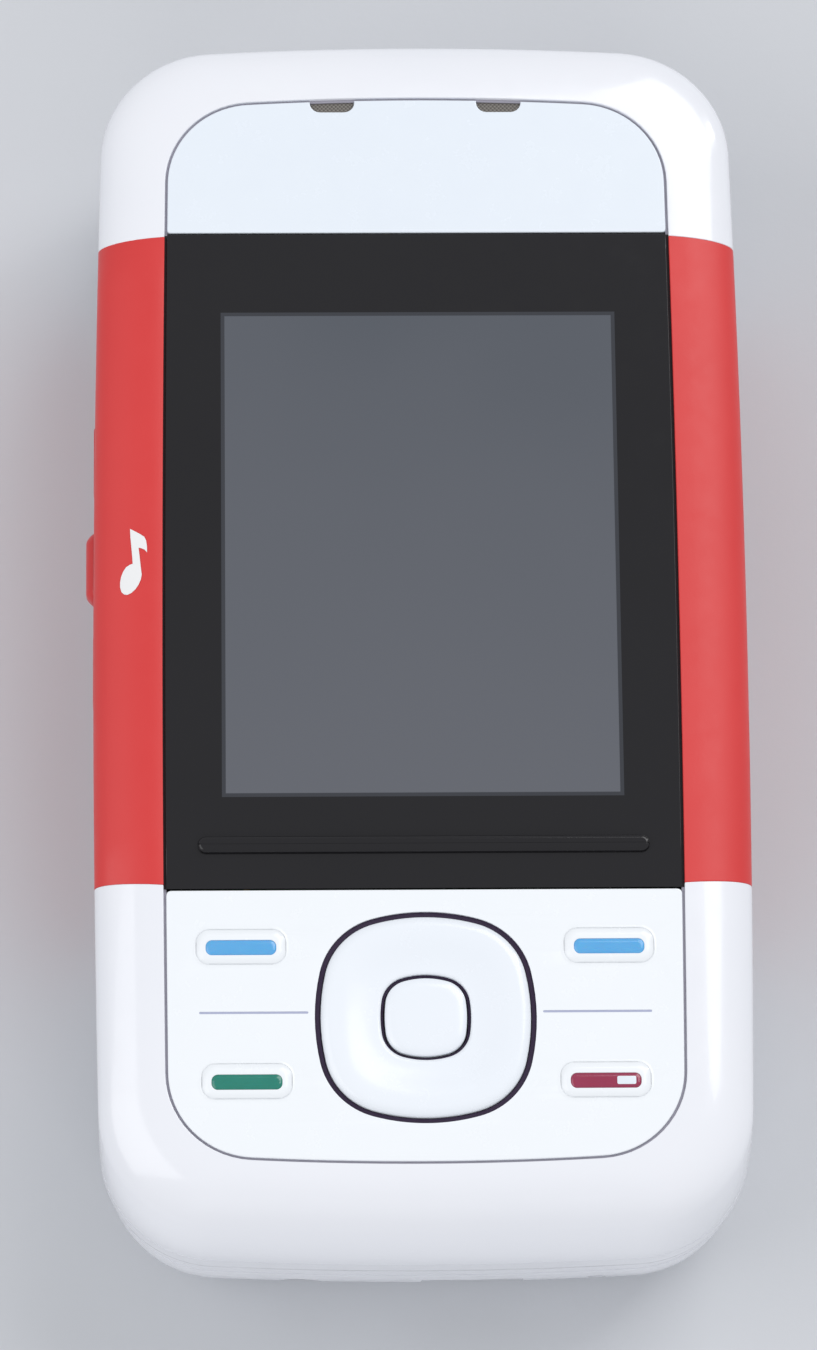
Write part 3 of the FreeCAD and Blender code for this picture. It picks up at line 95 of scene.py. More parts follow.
def placed(name, data, body=None):
    """A mesh, text, lamp or camera put in the scene, riding on a body of the phone if one is named."""
    made = bpy.data.objects.new(name, data)
    bpy.context.scene.collection.objects.link(made)
    if body:
        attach(made, body)
    return made


def mesh_piece(name, points, faces, material, body=None):
    """A smooth mesh from points in millimetres."""
    mesh = bpy.data.meshes.new(name)
    mesh.from_pydata([Vector(p) * MM for p in points], [], faces)
    mesh.shade_smooth()
    mesh.materials.append(material)
    return placed(name, mesh, body)


paper, tree, place = blank("cartridge_paper")
tooth = add(tree, "ShaderNodeTexNoise", {"Vector": place, "Scale": every_mm(0.5), "Detail": 3.0})
relief = add(tree, "ShaderNodeBump", {
    "Height": tooth.outputs["Fac"], "Strength": 0.15, "Distance": 0.05 * MM})
cloud = add(tree, "ShaderNodeTexNoise", {"Vector": place, "Scale": every_mm(60), "Detail": 2.0})
shade = add(tree, "ShaderNodeMix", {
    "Factor": cloud.outputs["Fac"], "A": linear("#CBCDD1"), "B": linear("#D3D5D9")}, data_type="RGBA")
close(tree, add(tree, "ShaderNodeBsdfPrincipled", {
    "Base Color": shade.outputs["Result"], "Roughness": 0.92, "Specular IOR Level": 0.15,
    "Normal": relief.outputs["Normal"]}))
SHEET_HALF = 1500.0
SHEET_Z = -0.02
corners = [(x * SHEET_HALF, y * SHEET_HALF, SHEET_Z) for x, y in ((-1, -1), (1, -1), (1, 1), (-1, 1))]
mesh_piece("paper_floor", corners, [(0, 1, 2, 3)], paper)


# ---------------------------------------------------------------- main and slide circuit boards
# Glass-epoxy laminate under green solder mask, with copper tracks that show through it
# as slightly lighter, raised lines, and gold plated pads. One lies in each half.
def dress(material, *names):
    """Gives CAD nodes a material."""
    for name in names:
        nodes[name].data.materials.clear()
        nodes[name].data.materials.append(material)


def solder_mask(name, dark, light, pad_gold):
    """Solder mask over tracks. A cell pattern stands for them, 0.9 mm apart so that it shows."""
    material, tree, place = blank(name)
    cells = add(tree, "ShaderNodeTexVoronoi", {
        "Vector": place, "Scale": every_mm(0.9), "Randomness": 0.35},
        distance="MANHATTAN", feature="DISTANCE_TO_EDGE")
    track = add(tree, "ShaderNodeMapRange", {
        "Value": cells.outputs["Distance"], "From Min": 0.05, "From Max": 0.09})
    blotch = add(tree, "ShaderNodeTexVoronoi", {"Vector": place, "Scale": every_mm(2.2)})
    pads = add(tree, "ShaderNodeMath", {0: blotch.outputs["Distance"], 1: 0.16}, operation="LESS_THAN")
    mask = add(tree, "ShaderNodeMix", {
        "Factor": track.outputs["Result"], "A": linear(light), "B": linear(dark)}, data_type="RGBA")
    colour = add(tree, "ShaderNodeMix", {
        "Factor": pads.outputs[0], "A": mask.outputs["Result"], "B": linear(pad_gold)},
        data_type="RGBA")
    relief = add(tree, "ShaderNodeBump", {
        "Height": track.outputs["Result"], "Strength": 0.4, "Distance": 0.03 * MM}, invert=True)
    close(tree, add(tree, "ShaderNodeBsdfPrincipled", {
        "Base Color": colour.outputs["Result"], "Metallic": pads.outputs[0], "Roughness": 0.32,
        "IOR": 1.55, "Normal": relief.outputs["Normal"]}))
    return material


green_mask = solder_mask("green_solder_mask", "#0E4A2A", "#1C6B3F", "#D8B25A")
dress(green_mask, "main_circuit_board", "slide_circuit_board")


# ---------------------------------------------------------------- shield cans, display tray
# Cans of tin-plated steel sheet, deep drawn and dull, with fine drawing lines. The
# display tray is stamped from the same kind of sheet.
def sheet_metal(name, colour, dark, rough, grain_mm, along="X"):
    """Rolled sheet metal: long fine streaks along the rolling direction vary the gloss."""
    material, tree, place = blank(name)
    streak, swing = 60.0, 0.06
    squeezed = (1.0, 1 / streak, 1.0) if along == "Y" else (1 / streak, 1.0, 1.0)
    squeeze = add(tree, "ShaderNodeMapping", {"Vector": place, "Scale": squeezed})
    lines = add(tree, "ShaderNodeTexNoise", {
        "Vector": squeeze.outputs[0], "Scale": every_mm(grain_mm), "Detail": 4.0})
    smear = add(tree, "ShaderNodeTexNoise", {"Vector": place, "Scale": every_mm(6), "Detail": 4.0})
    tint = add(tree, "ShaderNodeMix", {
        "Factor": smear.outputs["Fac"], "A": linear(colour), "B": linear(dark)}, data_type="RGBA")
    gloss = add(tree, "ShaderNodeMapRange", {
        "Value": lines.outputs["Fac"], "From Min": 0.3, "From Max": 0.7,
        "To Min": rough - swing, "To Max": rough + swing})
    relief = add(tree, "ShaderNodeBump", {
        "Height": lines.outputs["Fac"], "Strength": 0.12, "Distance": 0.01 * MM})
    close(tree, add(tree, "ShaderNodeBsdfPrincipled", {
        "Base Color": tint.outputs["Result"], "Metallic": 1.0, "Roughness": gloss.outputs["Result"],
        "Normal": relief.outputs["Normal"]}))
    return material


tinplate = sheet_metal("drawn_tinplate", "#C9C8C2", "#B4B3AD", rough=0.38, grain_mm=0.12)
dress(tinplate, "shield_cans", "display_tray")

# ---------------------------------------------------------------- rail plate and carrier plate
# The slider: stainless steel sheet, blanked, folded and tumbled, so it is smooth with a
# satin face. It is greased along the rails.
stainless = sheet_metal("tumbled_stainless_sheet", "#BDBBB6", "#A9A7A2", rough=0.3, grain_mm=0.18,
                        along="Y")
dress(stainless, "rail_plate", "carrier_plate")

# ---------------------------------------------------------------- rail springs
# Two torsion springs of drawn music wire, hooked between the two plates. Drawing leaves
# the wire bright, with faint lines along it.
music_wire = sheet_metal("drawn_music_wire", "#A6A5A3", "#8C8B8A", rough=0.22, grain_mm=0.08)
dress(music_wire, "rail_springs")

# ---------------------------------------------------------------- screws
# Small pan-head screws of cold headed steel that hold the shells and plates together,
# zinc plated and passivated blue-white, which leaves them a little mottled.
blue_zinc = sheet_metal("blue_zinc_plate", "#C2C6CB", "#A8ACB3", rough=0.28, grain_mm=0.3)
dress(blue_zinc, "slide_screws", "base_screws")


# ---------------------------------------------------------------- slide flex
# A flat flex of copper tracks in amber polyimide film, which show through as darker
# stripes. One tail is fixed to the main board and one to the slide's, and the loop
# between them rolls along as the phone opens.
TRACK_PITCH = 0.5
flex_film, tree, place = blank("amber_polyimide_flex")
across = add(tree, "ShaderNodeSeparateXYZ", {"Vector": place})
wave = add(tree, "ShaderNodeMath", {
    0: across.outputs["X"], 1: 2 * math.pi / (TRACK_PITCH * MM)}, operation="MULTIPLY")
stripe = add(tree, "ShaderNodeMath", {0: wave.outputs[0]}, operation="SINE")
track = add(tree, "ShaderNodeMapRange", {
    "Value": stripe.outputs[0], "From Min": -0.1, "From Max": 0.1})
film = add(tree, "ShaderNodeMix", {
    "Factor": track.outputs["Result"], "A": linear("#C07A2C"), "B": linear("#8E4E1B")},
    data_type="RGBA")
relief = add(tree, "ShaderNodeBump", {
    "Height": track.outputs["Result"], "Strength": 0.3, "Distance": 0.02 * MM})
close(tree, add(tree, "ShaderNodeBsdfPrincipled", {
    "Base Color": film.outputs["Result"], "Roughness": 0.3, "IOR": 1.7, "Coat Weight": 0.3,
    "Coat Roughness": 0.1, "Normal": relief.outputs["Normal"]}))
FLEX_HALF_W, FLEX_T = 5.0, 0.12
LOW_TAIL_Z, LOW_RUN_Z, HIGH_RUN_Z, HIGH_TAIL_Z = 7.6, 10.06, 10.94, 15.5
TAIL_Y, BEND_Y, BEND_STEPS = 3.76, -4.0, 12
bend_z, bend_r = (LOW_RUN_Z + HIGH_RUN_Z) / 2, (HIGH_RUN_Z - LOW_RUN_Z) / 2
line = [Vector((TAIL_Y, LOW_TAIL_Z)), Vector((TAIL_Y, LOW_RUN_Z))]
for step in range(BEND_STEPS + 1):
    turn = math.pi * step / BEND_STEPS
    line.append(Vector((BEND_Y - bend_r * math.sin(turn), bend_z - bend_r * math.cos(turn))))
line += [Vector((TAIL_Y, HIGH_RUN_Z)), Vector((TAIL_Y, HIGH_TAIL_Z))]
points = []
for i, point in enumerate(line):
    before = (point - line[max(i - 1, 0)]).normalized()
    after = (line[min(i + 1, len(line) - 1)] - point).normalized()
    along = (before + after).normalized()
    reach = FLEX_T / 2 / max(along.dot(after), along.dot(before))
    half_t = reach * Vector((-along.y, along.x))
    for y, z in (point + half_t, point - half_t):
        points += [(-FLEX_HALF_W, y, z), (FLEX_HALF_W, y, z)]
faces = [(0, 2, 3, 1)]
for a in range(0, len(points) - 4, 4):
    b = a + 4
    faces += [(a, a + 1, b + 1, b), (a + 2, b + 2, b + 3, a + 3),
              (a, b, b + 2, a + 2), (a + 1, a + 3, b + 3, b + 1)]
faces.append((b, b + 1, b + 3, b + 2))
flex = mesh_piece("slide_flex_film", points, faces, flex_film)
flex.data.shade_flat()
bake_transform(flex)
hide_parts("slide_flex")


# ---------------------------------------------------------------- key mats
# Number key mat and function key mat: compression moulded silicone rubber, milky and
# matt, with a dusty bloom.
silicone, tree, place = blank("moulded_silicone_milky")
bloom = add(tree, "ShaderNodeTexNoise", {"Vector": place, "Scale": every_mm(1.2), "Detail": 6.0})
tone = add(tree, "ShaderNodeMix", {
    "Factor": bloom.outputs["Fac"], "A": linear("#C9CCD1"), "B": linear("#DADDE1")}, data_type="RGBA")
relief = add(tree, "ShaderNodeBump", {
    "Height": bloom.outputs["Fac"], "Strength": 0.2, "Distance": 0.02 * MM})
close(tree, add(tree, "ShaderNodeBsdfPrincipled", {
    "Base Color": tone.outputs["Result"], "Roughness": 0.6, "IOR": 1.41, "Subsurface Weight": 0.15,
    "Subsurface Scale": 0.5 * MM, "Normal": relief.outputs["Normal"]}))
dress(silicone, "number_key_mat", "function_key_mat")


# ---------------------------------------------------------------- black moulded parts inside
# Jack sockets, camera body, earpiece, loudspeaker and the scroll ring's pivot frame are
# glass-filled nylon: black, matt, with the fine spark-eroded grain of their tool.
def moulded(name, colour, other, rough, worn, grain_mm, grain, ior=1.5, coat=0.0, drift_mm=14.0):
    """Moulded plastic: colour and gloss drift slowly over the piece, above a fine even grain."""
    material, tree, place = blank(name)
    drift = add(tree, "ShaderNodeTexNoise", {
        "Vector": place, "Scale": every_mm(drift_mm), "Detail": 2.0})
    handling = add(tree, "ShaderNodeTexNoise", {
        "Vector": place, "Scale": every_mm(2.5), "Detail": 6.0, "Roughness": 0.68})
    peel = add(tree, "ShaderNodeTexNoise", {
        "Vector": place, "Scale": every_mm(grain_mm), "Detail": 2.0})
    tint = add(tree, "ShaderNodeMix", {
        "Factor": drift.outputs["Fac"], "A": linear(colour), "B": linear(other)}, data_type="RGBA")
    gloss = add(tree, "ShaderNodeMapRange", {
        "Value": handling.outputs["Fac"], "From Min": 0.38, "From Max": 0.68,
        "To Min": rough, "To Max": worn})
    relief = add(tree, "ShaderNodeBump", {
        "Height": peel.outputs["Fac"], "Strength": grain, "Distance": 0.02 * MM})
    close(tree, add(tree, "ShaderNodeBsdfPrincipled", {
        "Base Color": tint.outputs["Result"], "Roughness": gloss.outputs["Result"], "IOR": ior,
        "Coat Weight": coat, "Coat Roughness": 0.04, "Normal": relief.outputs["Normal"]}))
    return material


black_nylon = moulded("spark_grained_black_nylon", "#1B1B1D", "#242426", rough=0.5, worn=0.62,
                      grain_mm=0.12, grain=0.5)
dress(black_nylon, "headset_socket", "charger_socket", "camera_module", "earpiece", "loudspeaker",
      "scroll_ring_pivot")

# ---------------------------------------------------------------- data socket
# A shell of thin steel sheet, stamped, folded and nickel plated bright, soldered to the
# foot end of the main board.
nickel = sheet_metal("nickel_plated_shell", "#C4C2BC", "#B0AEA8", rough=0.24, grain_mm=0.15)
dress(nickel, "data_socket")

# ---------------------------------------------------------------- battery
# A flat lithium cell in an aluminium can, wrapped in a dark grey printed film with a
# satin varnish.
battery_film = moulded("varnished_battery_film", "#3A3D43", "#43464C", rough=0.34, worn=0.45,
                       grain_mm=0.4, grain=0.15)
dress(battery_film, "battery")

# ---------------------------------------------------------------- display module
# A colour display that sits in its tray behind the window. Its front is a film of dark
# grey polariser with a low sheen.
polariser = moulded("display_polariser", "#3C3F45", "#454850", rough=0.2, worn=0.26,
                    grain_mm=1.0, grain=0.05)
dress(polariser, "display_module")

# ---------------------------------------------------------------- white shells
# The base's middle frame and three covers, and the slide's rear cover: ABS in gloss
# white, moulded in a polished tool and lacquered, so it mirrors softly with a trace of
# orange peel.
gloss_white = moulded("lacquered_abs_white", "#F3F4F9", "#EFF1F7", rough=0.13, worn=0.26,
                      grain_mm=0.6, grain=0.06, ior=1.53, coat=0.35)
dress(gloss_white, "base_front_cover", "middle_frame", "camera_cover", "battery_cover",
      "slide_rear_cover")

# ---------------------------------------------------------------- red bands and side keys of the base
# Bands let into both walls, with the volume and camera keys in the right one: ABS with a
# sprayed soft-touch coat, satin and finely grained. The keys are moulded through in red.
soft_red = moulded("soft_touch_red", "#DC3D3C", "#D43736", rough=0.36, worn=0.46,
                   grain_mm=0.22, grain=0.22, drift_mm=9.0)
dress(soft_red, "base_band_left", "base_band_right")
red_key = moulded("satin_key_red", "#D53838", "#CC3233", rough=0.28, worn=0.36,
                  grain_mm=0.3, grain=0.12)
dress(red_key, "volume_key", "camera_key")

# ---------------------------------------------------------------- power key
# A small white key in the top wall, which presses a switch on the main board. It is
# moulded ABS, left glossy by a polished tool.
key_white = moulded("polished_key_white", "#ECF2FB", "#E7EEF9", rough=0.14, worn=0.24,
                    grain_mm=0.5, grain=0.06, ior=1.53, coat=0.2)
dress(key_white, "power_key")

# ---------------------------------------------------------------- camera window
# A small acrylic window over the lens, hard coated and let in flush. It is printed black
# on its back, but for a clear middle that shows the lens in its grey retaining ring.
camera_acrylic, tree, place = blank("camera_window_acrylic")
window_low, window_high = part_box("camera_window")
window_middle = (Vector(window_low) + Vector(window_high)) / 2
from_middle = add(tree, "ShaderNodeVectorMath", {
    0: place, 1: (window_middle.x, window_middle.y, 0)}, operation="SUBTRACT")
flat = add(tree, "ShaderNodeVectorMath", {
    0: from_middle.outputs[0], 1: (1, 1, 0)}, operation="MULTIPLY")
radius = add(tree, "ShaderNodeVectorMath", {0: flat.outputs[0]}, operation="LENGTH")
haze = add(tree, "ShaderNodeTexNoise", {"Vector": place, "Scale": every_mm(1.5), "Detail": 4.0})
tone = linear("#15161A")
# Radius and colour of each ring seen in the window, from the outside in.
LENS_RINGS = ((2.1, "#6A6C70"), (1.75, "#0D0E12"), (1.15, "#2B2F45"), (0.6, "#07070B"))
for ring_r, colour in LENS_RINGS:
    inside = add(tree, "ShaderNodeMath", {
        0: radius.outputs["Value"], 1: ring_r * MM}, operation="LESS_THAN")
    layer = add(tree, "ShaderNodeMix", {
        "Factor": inside.outputs[0], "A": tone, "B": linear(colour)}, data_type="RGBA")
    tone = layer.outputs["Result"]
gloss = add(tree, "ShaderNodeMapRange", {
    "Value": haze.outputs["Fac"], "To Min": 0.03, "To Max": 0.08})
close(tree, add(tree, "ShaderNodeBsdfPrincipled", {
    "Base Color": tone, "Roughness": gloss.outputs["Result"], "IOR": 1.49}))
dress(camera_acrylic, "camera_window")


# ---------------------------------------------------------------- number keys
# Twelve keys moulded in satin polycarbonate with a broken top edge, glued to the key mat.
# The figures are screen printed in dark grey ink and stand 0.015 mm above the key.
def inset(loop, by):
    """A counter-clockwise loop of (x, y) moved inwards, or outwards by a negative distance."""
    moved = []
    for i, (x, y) in enumerate(loop):
        before, after = Vector(loop[i - 1]), Vector(loop[(i + 1) % len(loop)])
        here = Vector((x, y))
        first, second = (here - before).normalized(), (after - here).normalized()
        left, next_left = Vector((-first.y, first.x)), Vector((-second.y, second.x))
        moved.append(here + (left + next_left) / (1 + left.dot(next_left)) * by)
    return [(p.x, p.y) for p in moved]


def walls(first, count, rows, inward=False):
    """Faces between rows of points, where each row is a loop of count points."""
    faces = []
    for start in range(first, first + (rows - 1) * count, count):
        for i in range(count):
            a, b = start + i, start + (i + 1) % count
            faces.append((b, a, a + count, b + count) if inward else (a, b, b + count, a + count))
    return faces


def even_shading(piece):
    """Shades a piece's flat faces as flat, right up to their rounded edges."""
    piece.modifiers.new("even_normals", "WEIGHTED_NORMAL").keep_sharp = True
    return piece


def plate(name, outer, low, high, material, body, edge=0.0, holes=(), hole_edge=0.0, slope=None):
    """A flat plate with holes. Its top edge is rounded by edge, and those of its holes by
    hole_edge. A slope, as a reach and a rise, eases the outer edge instead."""
    points, faces, tops, bottoms = [], [], [], []
    for place, loop in enumerate([outer, *holes]):
        turn = hole_edge if place else edge
        rows = [(0.0, low), (0.0, high - turn)]
        for angle in (22.5, 45.0, 67.5, 90.0):
            lean = math.radians(angle)
            rows.append((turn * (1 - math.cos(lean)), high - turn + turn * math.sin(lean)))
        if slope and not place:
            reach, rise = slope
            shares = [step / 6 for step in range(7)]
            rows = [(0.0, low)] + [(reach * s, high - rise * (1 - s) ** 2) for s in shares]
        first, count = len(points), len(loop)
        for by, z in rows:
            points += [(x, y, z) for x, y in inset(loop, -by if place else by)]
        faces += walls(first, count, len(rows), inward=place > 0)
        bottoms.append(list(range(first, first + count)))
        tops.append(list(range(len(points) - count, len(points))))
    for loops, downwards in ((tops, False), (bottoms, True)):
        cover = [tuple(loops[0])]
        if holes:
            order = [i for loop in loops for i in loop]
            triangles = tessellate_polygon([[Vector(points[i]) for i in loop] for loop in loops])
            cover = [tuple(order[i] for i in triangle) for triangle in triangles]
        for face in cover:
            corners = [Vector(points[i]).xy for i in face]
            area = sum(here.cross(after) for here, after in zip(corners, corners[1:] + corners[:1]))
            faces.append(face if (area > 0) != downwards else face[::-1])
    return even_shading(mesh_piece(name, points, faces, material, body))


def rounded(x, y, width, height, radius, steps=8):
    """A counter-clockwise rounded rectangle centred on x, y."""
    loop = []
    for sx, sy, start in ((1, 1, 0), (-1, 1, 90), (-1, -1, 180), (1, -1, 270)):
        for step in range(steps + 1):
            angle = math.radians(start + 90 * step / steps)
            loop.append((x + sx * (width / 2 - radius) + radius * math.cos(angle),
                         y + sy * (height / 2 - radius) + radius * math.sin(angle)))
    return [p for i, p in enumerate(loop) if (Vector(p) - Vector(loop[i - 1])).length > 1e-6]


INK_HALF_T = 0.01


def printed(name, words, x, y, z, size, material, body):
    """A figure printed on a surface, centred on x, y: a thin film of ink."""
    text = bpy.data.curves.new(name, "FONT")
    text.body, text.size, text.align_x, text.align_y = words, size * MM, "CENTER", "CENTER"
    text.extrude, text.resolution_u = INK_HALF_T * MM, 6
    source = placed(name, text)
    source.location = (x * MM, y * MM, z * MM)
    bpy.context.view_layer.update()
    mesh = bpy.data.meshes.new_from_object(source)
    mesh.transform(source.matrix_world)
    mesh.materials.clear()
    mesh.materials.append(material)
    bpy.data.objects.remove(source)
    return placed(name, mesh, body)


number_white = moulded("satin_number_key", "#E6EAF2", "#DFE4EE", rough=0.22, worn=0.32,
                       grain_mm=0.3, grain=0.1)
key_ink = moulded("screen_ink_grey", "#3A3E46", "#454952", rough=0.45, worn=0.55,
                  grain_mm=0.15, grain=0.3)
NUMBER_PITCH_X, NUMBER_PITCH_Y = 13.0, 7.2
NUMBER_TOP_ROW_Y = -17.0
NUMBER_W, NUMBER_H, NUMBER_R, NUMBER_EDGE = 12.1, 6.2, 1.4, 0.28
NUMBER_FOOT_Z, NUMBER_TOP_Z = 8.35, 9.85
INK_Z = NUMBER_TOP_Z + INK_HALF_T / 2
FIGURE_SIZE, STAR_SIZE, STAR_DROP = 3.9, 6.2, 1.45
names = ["1", "2", "3", "4", "5", "6", "7", "8", "9", "star", "0", "hash"]
for place, (name, figure) in enumerate(zip(names, "123456789*0#")):
    row, column = divmod(place, 3)
    x, y = (column - 1) * NUMBER_PITCH_X, NUMBER_TOP_ROW_Y - row * NUMBER_PITCH_Y
    outline = rounded(x, y, NUMBER_W, NUMBER_H, NUMBER_R)
    key = plate("number_key_cap_" + name, outline, NUMBER_FOOT_Z, NUMBER_TOP_Z, number_white,
                "number_key_" + name, NUMBER_EDGE)
    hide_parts("number_key_" + name)
    size, drop = (STAR_SIZE, STAR_DROP) if figure == "*" else (FIGURE_SIZE, 0.0)
    ink = printed("figure_" + name, figure, x, y - drop, INK_Z, size, key_ink, "number_key_" + name)


# ---------------------------------------------------------------- front cover of the slide
# The white bezel round the faceplate, gloss ABS: its wall rolls over a quarter ellipse into
# the faceplate opening, from lower down at the foot end. A step each side takes a red band.
class Oval:
    """Long side and end arcs joined by corner arcs, all tangent: the plan of the phone's parts."""

    def __init__(self, half_w, half_l, side_r, corner_r, end_r, y=0.0):
        self.values = (half_w, half_l, side_r, corner_r, end_r, y)

    def offset(self, by):
        """The oval drawn this far outside."""
        *sizes, y = self.values
        return Oval(*[size + by for size in sizes], y)

    def towards(self, other, share):
        """An oval part of the way to another one."""
        return Oval(*[a + (b - a) * share for a, b in zip(self.values, other.values)])

    def lean(self, other, share, foot_share):
        """An oval on the way to another one, with its foot end further along than the rest."""
        made = self.towards(other, share)
        half_w, half_l, side_r, corner_r, end_r, y = made.values
        foot, other_foot = self.values[5] - self.values[1], other.values[5] - other.values[1]
        head, foot = y + half_l, foot + (other_foot - foot) * foot_share
        made.values = (half_w, (head - foot) / 2, side_r, corner_r, end_r, (head + foot) / 2)
        return made

    def side_x(self, y):
        """How far out the right side is at y."""
        half_w, side_r, mid_y = self.values[0], self.values[2], self.values[5]
        return half_w - side_r + math.sqrt(side_r ** 2 - (y - mid_y) ** 2)

    def corner(self):
        """Corner arc of the top right quarter: its centre, and its first and last angle."""
        half_w, half_l, side_r, corner_r, end_r, _ = self.values
        side, end = Vector((half_w - side_r, 0)), Vector((0, half_l - end_r))
        apart = (end - side).length
        along = (apart ** 2 + (side_r - corner_r) ** 2 - (end_r - corner_r) ** 2) / (2 * apart)
        across = math.sqrt((side_r - corner_r) ** 2 - along ** 2)
        line = (end - side) / apart
        centre = side + line * along + Vector((-line.y, line.x)) * across
        first, last = centre - side, centre - end
        return centre, math.atan2(first.y, first.x), math.atan2(last.y, last.x)

    def quarter(self, corner_steps, end_steps):
        """Top right quarter past the side: the corner arc, then the end arc to the middle."""
        _, half_l, _, corner_r, end_r, _ = self.values
        centre, first, last = self.corner()
        loop = []
        for step in range(corner_steps + 1):
            angle = first + (last - first) * step / corner_steps
            loop.append((centre.x + corner_r * math.cos(angle), centre.y + corner_r * math.sin(angle)))
        start = loop[-1][0]
        for step in range(1, end_steps + 1):
            x = start * (1 - step / end_steps)
            loop.append((x, half_l - end_r + math.sqrt(end_r ** 2 - x ** 2)))
        return loop

    def loop(self, corner_steps=16, end_steps=12, side_steps=8, side_ys=None):
        """The whole oval, counter-clockwise from the foot of its right side."""
        y = self.values[5]
        top = self.quarter(corner_steps, end_steps)
        reach = top[0][1]
        if side_ys is None:
            side_ys = [y - reach + 2 * reach * i / side_steps for i in range(1, side_steps)]
        right = [(self.side_x(s), s) for s in side_ys]
        upper = [(px, py + y) for px, py in top] + [(-px, py + y) for px, py in top[-2::-1]]
        lower = [(-px, -py + y) for px, py in top] + [(px, -py + y) for px, py in top[-2::-1]]
        left = [(-px, py) for px, py in reversed(right)]
        return right + upper + left + lower


BODY = Oval(23.9, 46.2, 1500.0, 8.5, 280.0)
FACE = Oval(18.63, 40.67, 2800.0, 6.3, 230.0, 0.43)
OPENING = FACE.offset(0.2)
FRONT_Z = 20.3
CROWN_RISE, FOOT_RISE = 2.5, 6.9
BEZEL_FOOT_Z, BAND_FOOT_Z = FRONT_Z - FOOT_RISE, 11.4
SHELL_T = 0.7
BAND_TOP_Y, BAND_BOTTOM_Y, BAND_TAPER = 30.2, -19.7, 0.4
# Columns of the skin above a band, along it and below it, then round a corner and half an end.
ABOVE, ALONG, BELOW = 3, 14, 5
CORNER_STEPS, END_STEPS = 14, 12


def seam_y(oval, edge_y, taper):
    """Where a band's edge crosses the side of an oval: it slants a little across the crown."""
    crown_run = BODY.values[0] + 1 - OPENING.values[0]
    y = edge_y
    for _ in range(3):
        y = edge_y + taper * (oval.side_x(y) - OPENING.values[0]) / crown_run
    return y


def skin_row(oval, z):
    """One row of points round the slide, with columns that follow the two band edges."""
    reach = oval.quarter(1, 1)[0][1]
    mid = oval.values[5]
    low = seam_y(oval, BAND_BOTTOM_Y, BAND_TAPER)
    high = seam_y(oval, BAND_TOP_Y, -BAND_TAPER)
    foot, head = mid - reach, mid + reach
    ys = [foot + (low - foot) * i / BELOW for i in range(1, BELOW)]
    ys += [low + (high - low) * i / ALONG for i in range(ALONG + 1)]
    ys += [high + (head - high) * i / ABOVE for i in range(1, ABOVE)]
    return [(x, y, z) for x, y in oval.loop(CORNER_STEPS, END_STEPS, side_ys=ys)]


def ease(z, rise):
    """How far a crown of this rise has come in at height z: 0 where it starts, 1 at its top."""
    climbed = min(max((z - FRONT_Z + rise) / rise, 0.0), 1.0)
    return 1 - math.sqrt(1 - climbed ** 2)


heights = [BAND_FOOT_Z, (BAND_FOOT_Z + BEZEL_FOOT_Z) / 2]
BEZEL_ROW = len(heights)
FOOT_STEPS, CROWN_STEPS = 6, 14
side_foot = math.asin((FOOT_RISE - CROWN_RISE) / FOOT_RISE)
for step in range(FOOT_STEPS):
    heights.append(BEZEL_FOOT_Z + FOOT_RISE * math.sin(side_foot * step / FOOT_STEPS))
for step in range(CROWN_STEPS + 1):
    lean = math.pi / 2 * step / CROWN_STEPS
    reach = BODY.values[0] - OPENING.values[0]
    turn = math.atan2(CROWN_RISE * math.sin(lean), reach * math.cos(lean))
    heights.append(FRONT_Z - CROWN_RISE + CROWN_RISE * math.sin(turn))
rows = [skin_row(BODY.lean(OPENING, ease(z, CROWN_RISE), ease(z, FOOT_RISE)), z) for z in heights]
ACROSS = len(rows[0])
RIGHT_BAND = range(BELOW - 1, BELOW - 1 + ALONG)
SIDE_COUNT = BELOW - 1 + ALONG + 1 + ABOVE - 1
LEFT_START = SIDE_COUNT + 2 * (CORNER_STEPS + END_STEPS) + 1
LEFT_BAND = range(LEFT_START + ABOVE - 1, LEFT_START + ABOVE - 1 + ALONG)


def skin(name, wanted, edge, material, node, cutters=()):
    """Part of the slide's skin, thickened inwards, with its cut-outs made and its edges broken."""
    used, faces, points = {}, [], []
    for row in range(len(rows) - 1):
        for i in range(ACROSS):
            if wanted(row, i):
                after = (i + 1) % ACROSS
                corners = [(row, i), (row, after), (row + 1, after), (row + 1, i)]
                for corner in corners:
                    if corner not in used:
                        used[corner] = len(points)
                        points.append(rows[corner[0]][corner[1]])
                faces.append([used[corner] for corner in corners])
    made = mesh_piece(name, points, faces, material, "slide")
    wall = made.modifiers.new("wall", "SOLIDIFY")
    wall.thickness, wall.offset, wall.use_even_offset = SHELL_T * MM, -1.0, True
    for cutter in cutters:
        cut = made.modifiers.new("cut", "BOOLEAN")
        cut.operation, cut.solver, cut.object = "DIFFERENCE", "EXACT", cutter
    edges = made.modifiers.new("broken_edges", "BEVEL")
    edges.width, edges.segments, edges.limit_method = edge * MM, 3, "ANGLE"
    edges.angle_limit, edges.harden_normals = math.radians(50), True
    bpy.context.view_layer.update()
    evaluated = made.evaluated_get(bpy.context.evaluated_depsgraph_get())
    shaped = bpy.data.meshes.new_from_object(evaluated)
    made.modifiers.clear()
    made.data = shaped
    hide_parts(node)
    return made


def in_bezel(row, i):
    """Whether a patch of the skin belongs to the white bezel."""
    return row >= BEZEL_ROW and i not in RIGHT_BAND and i not in LEFT_BAND


BEZEL_EDGE = 0.07
bezel = skin("front_bezel", in_bezel, BEZEL_EDGE, gloss_white, "slide_front_cover")


# ---------------------------------------------------------------- red bands of the slide
# Grip bands let flush into the bezel, from the faceplate opening down the wall: ABS with
# the same sprayed soft-touch coat. The left one has openings for the music keys.
MUSIC_Z, MUSIC_H = 15.5, 2.4
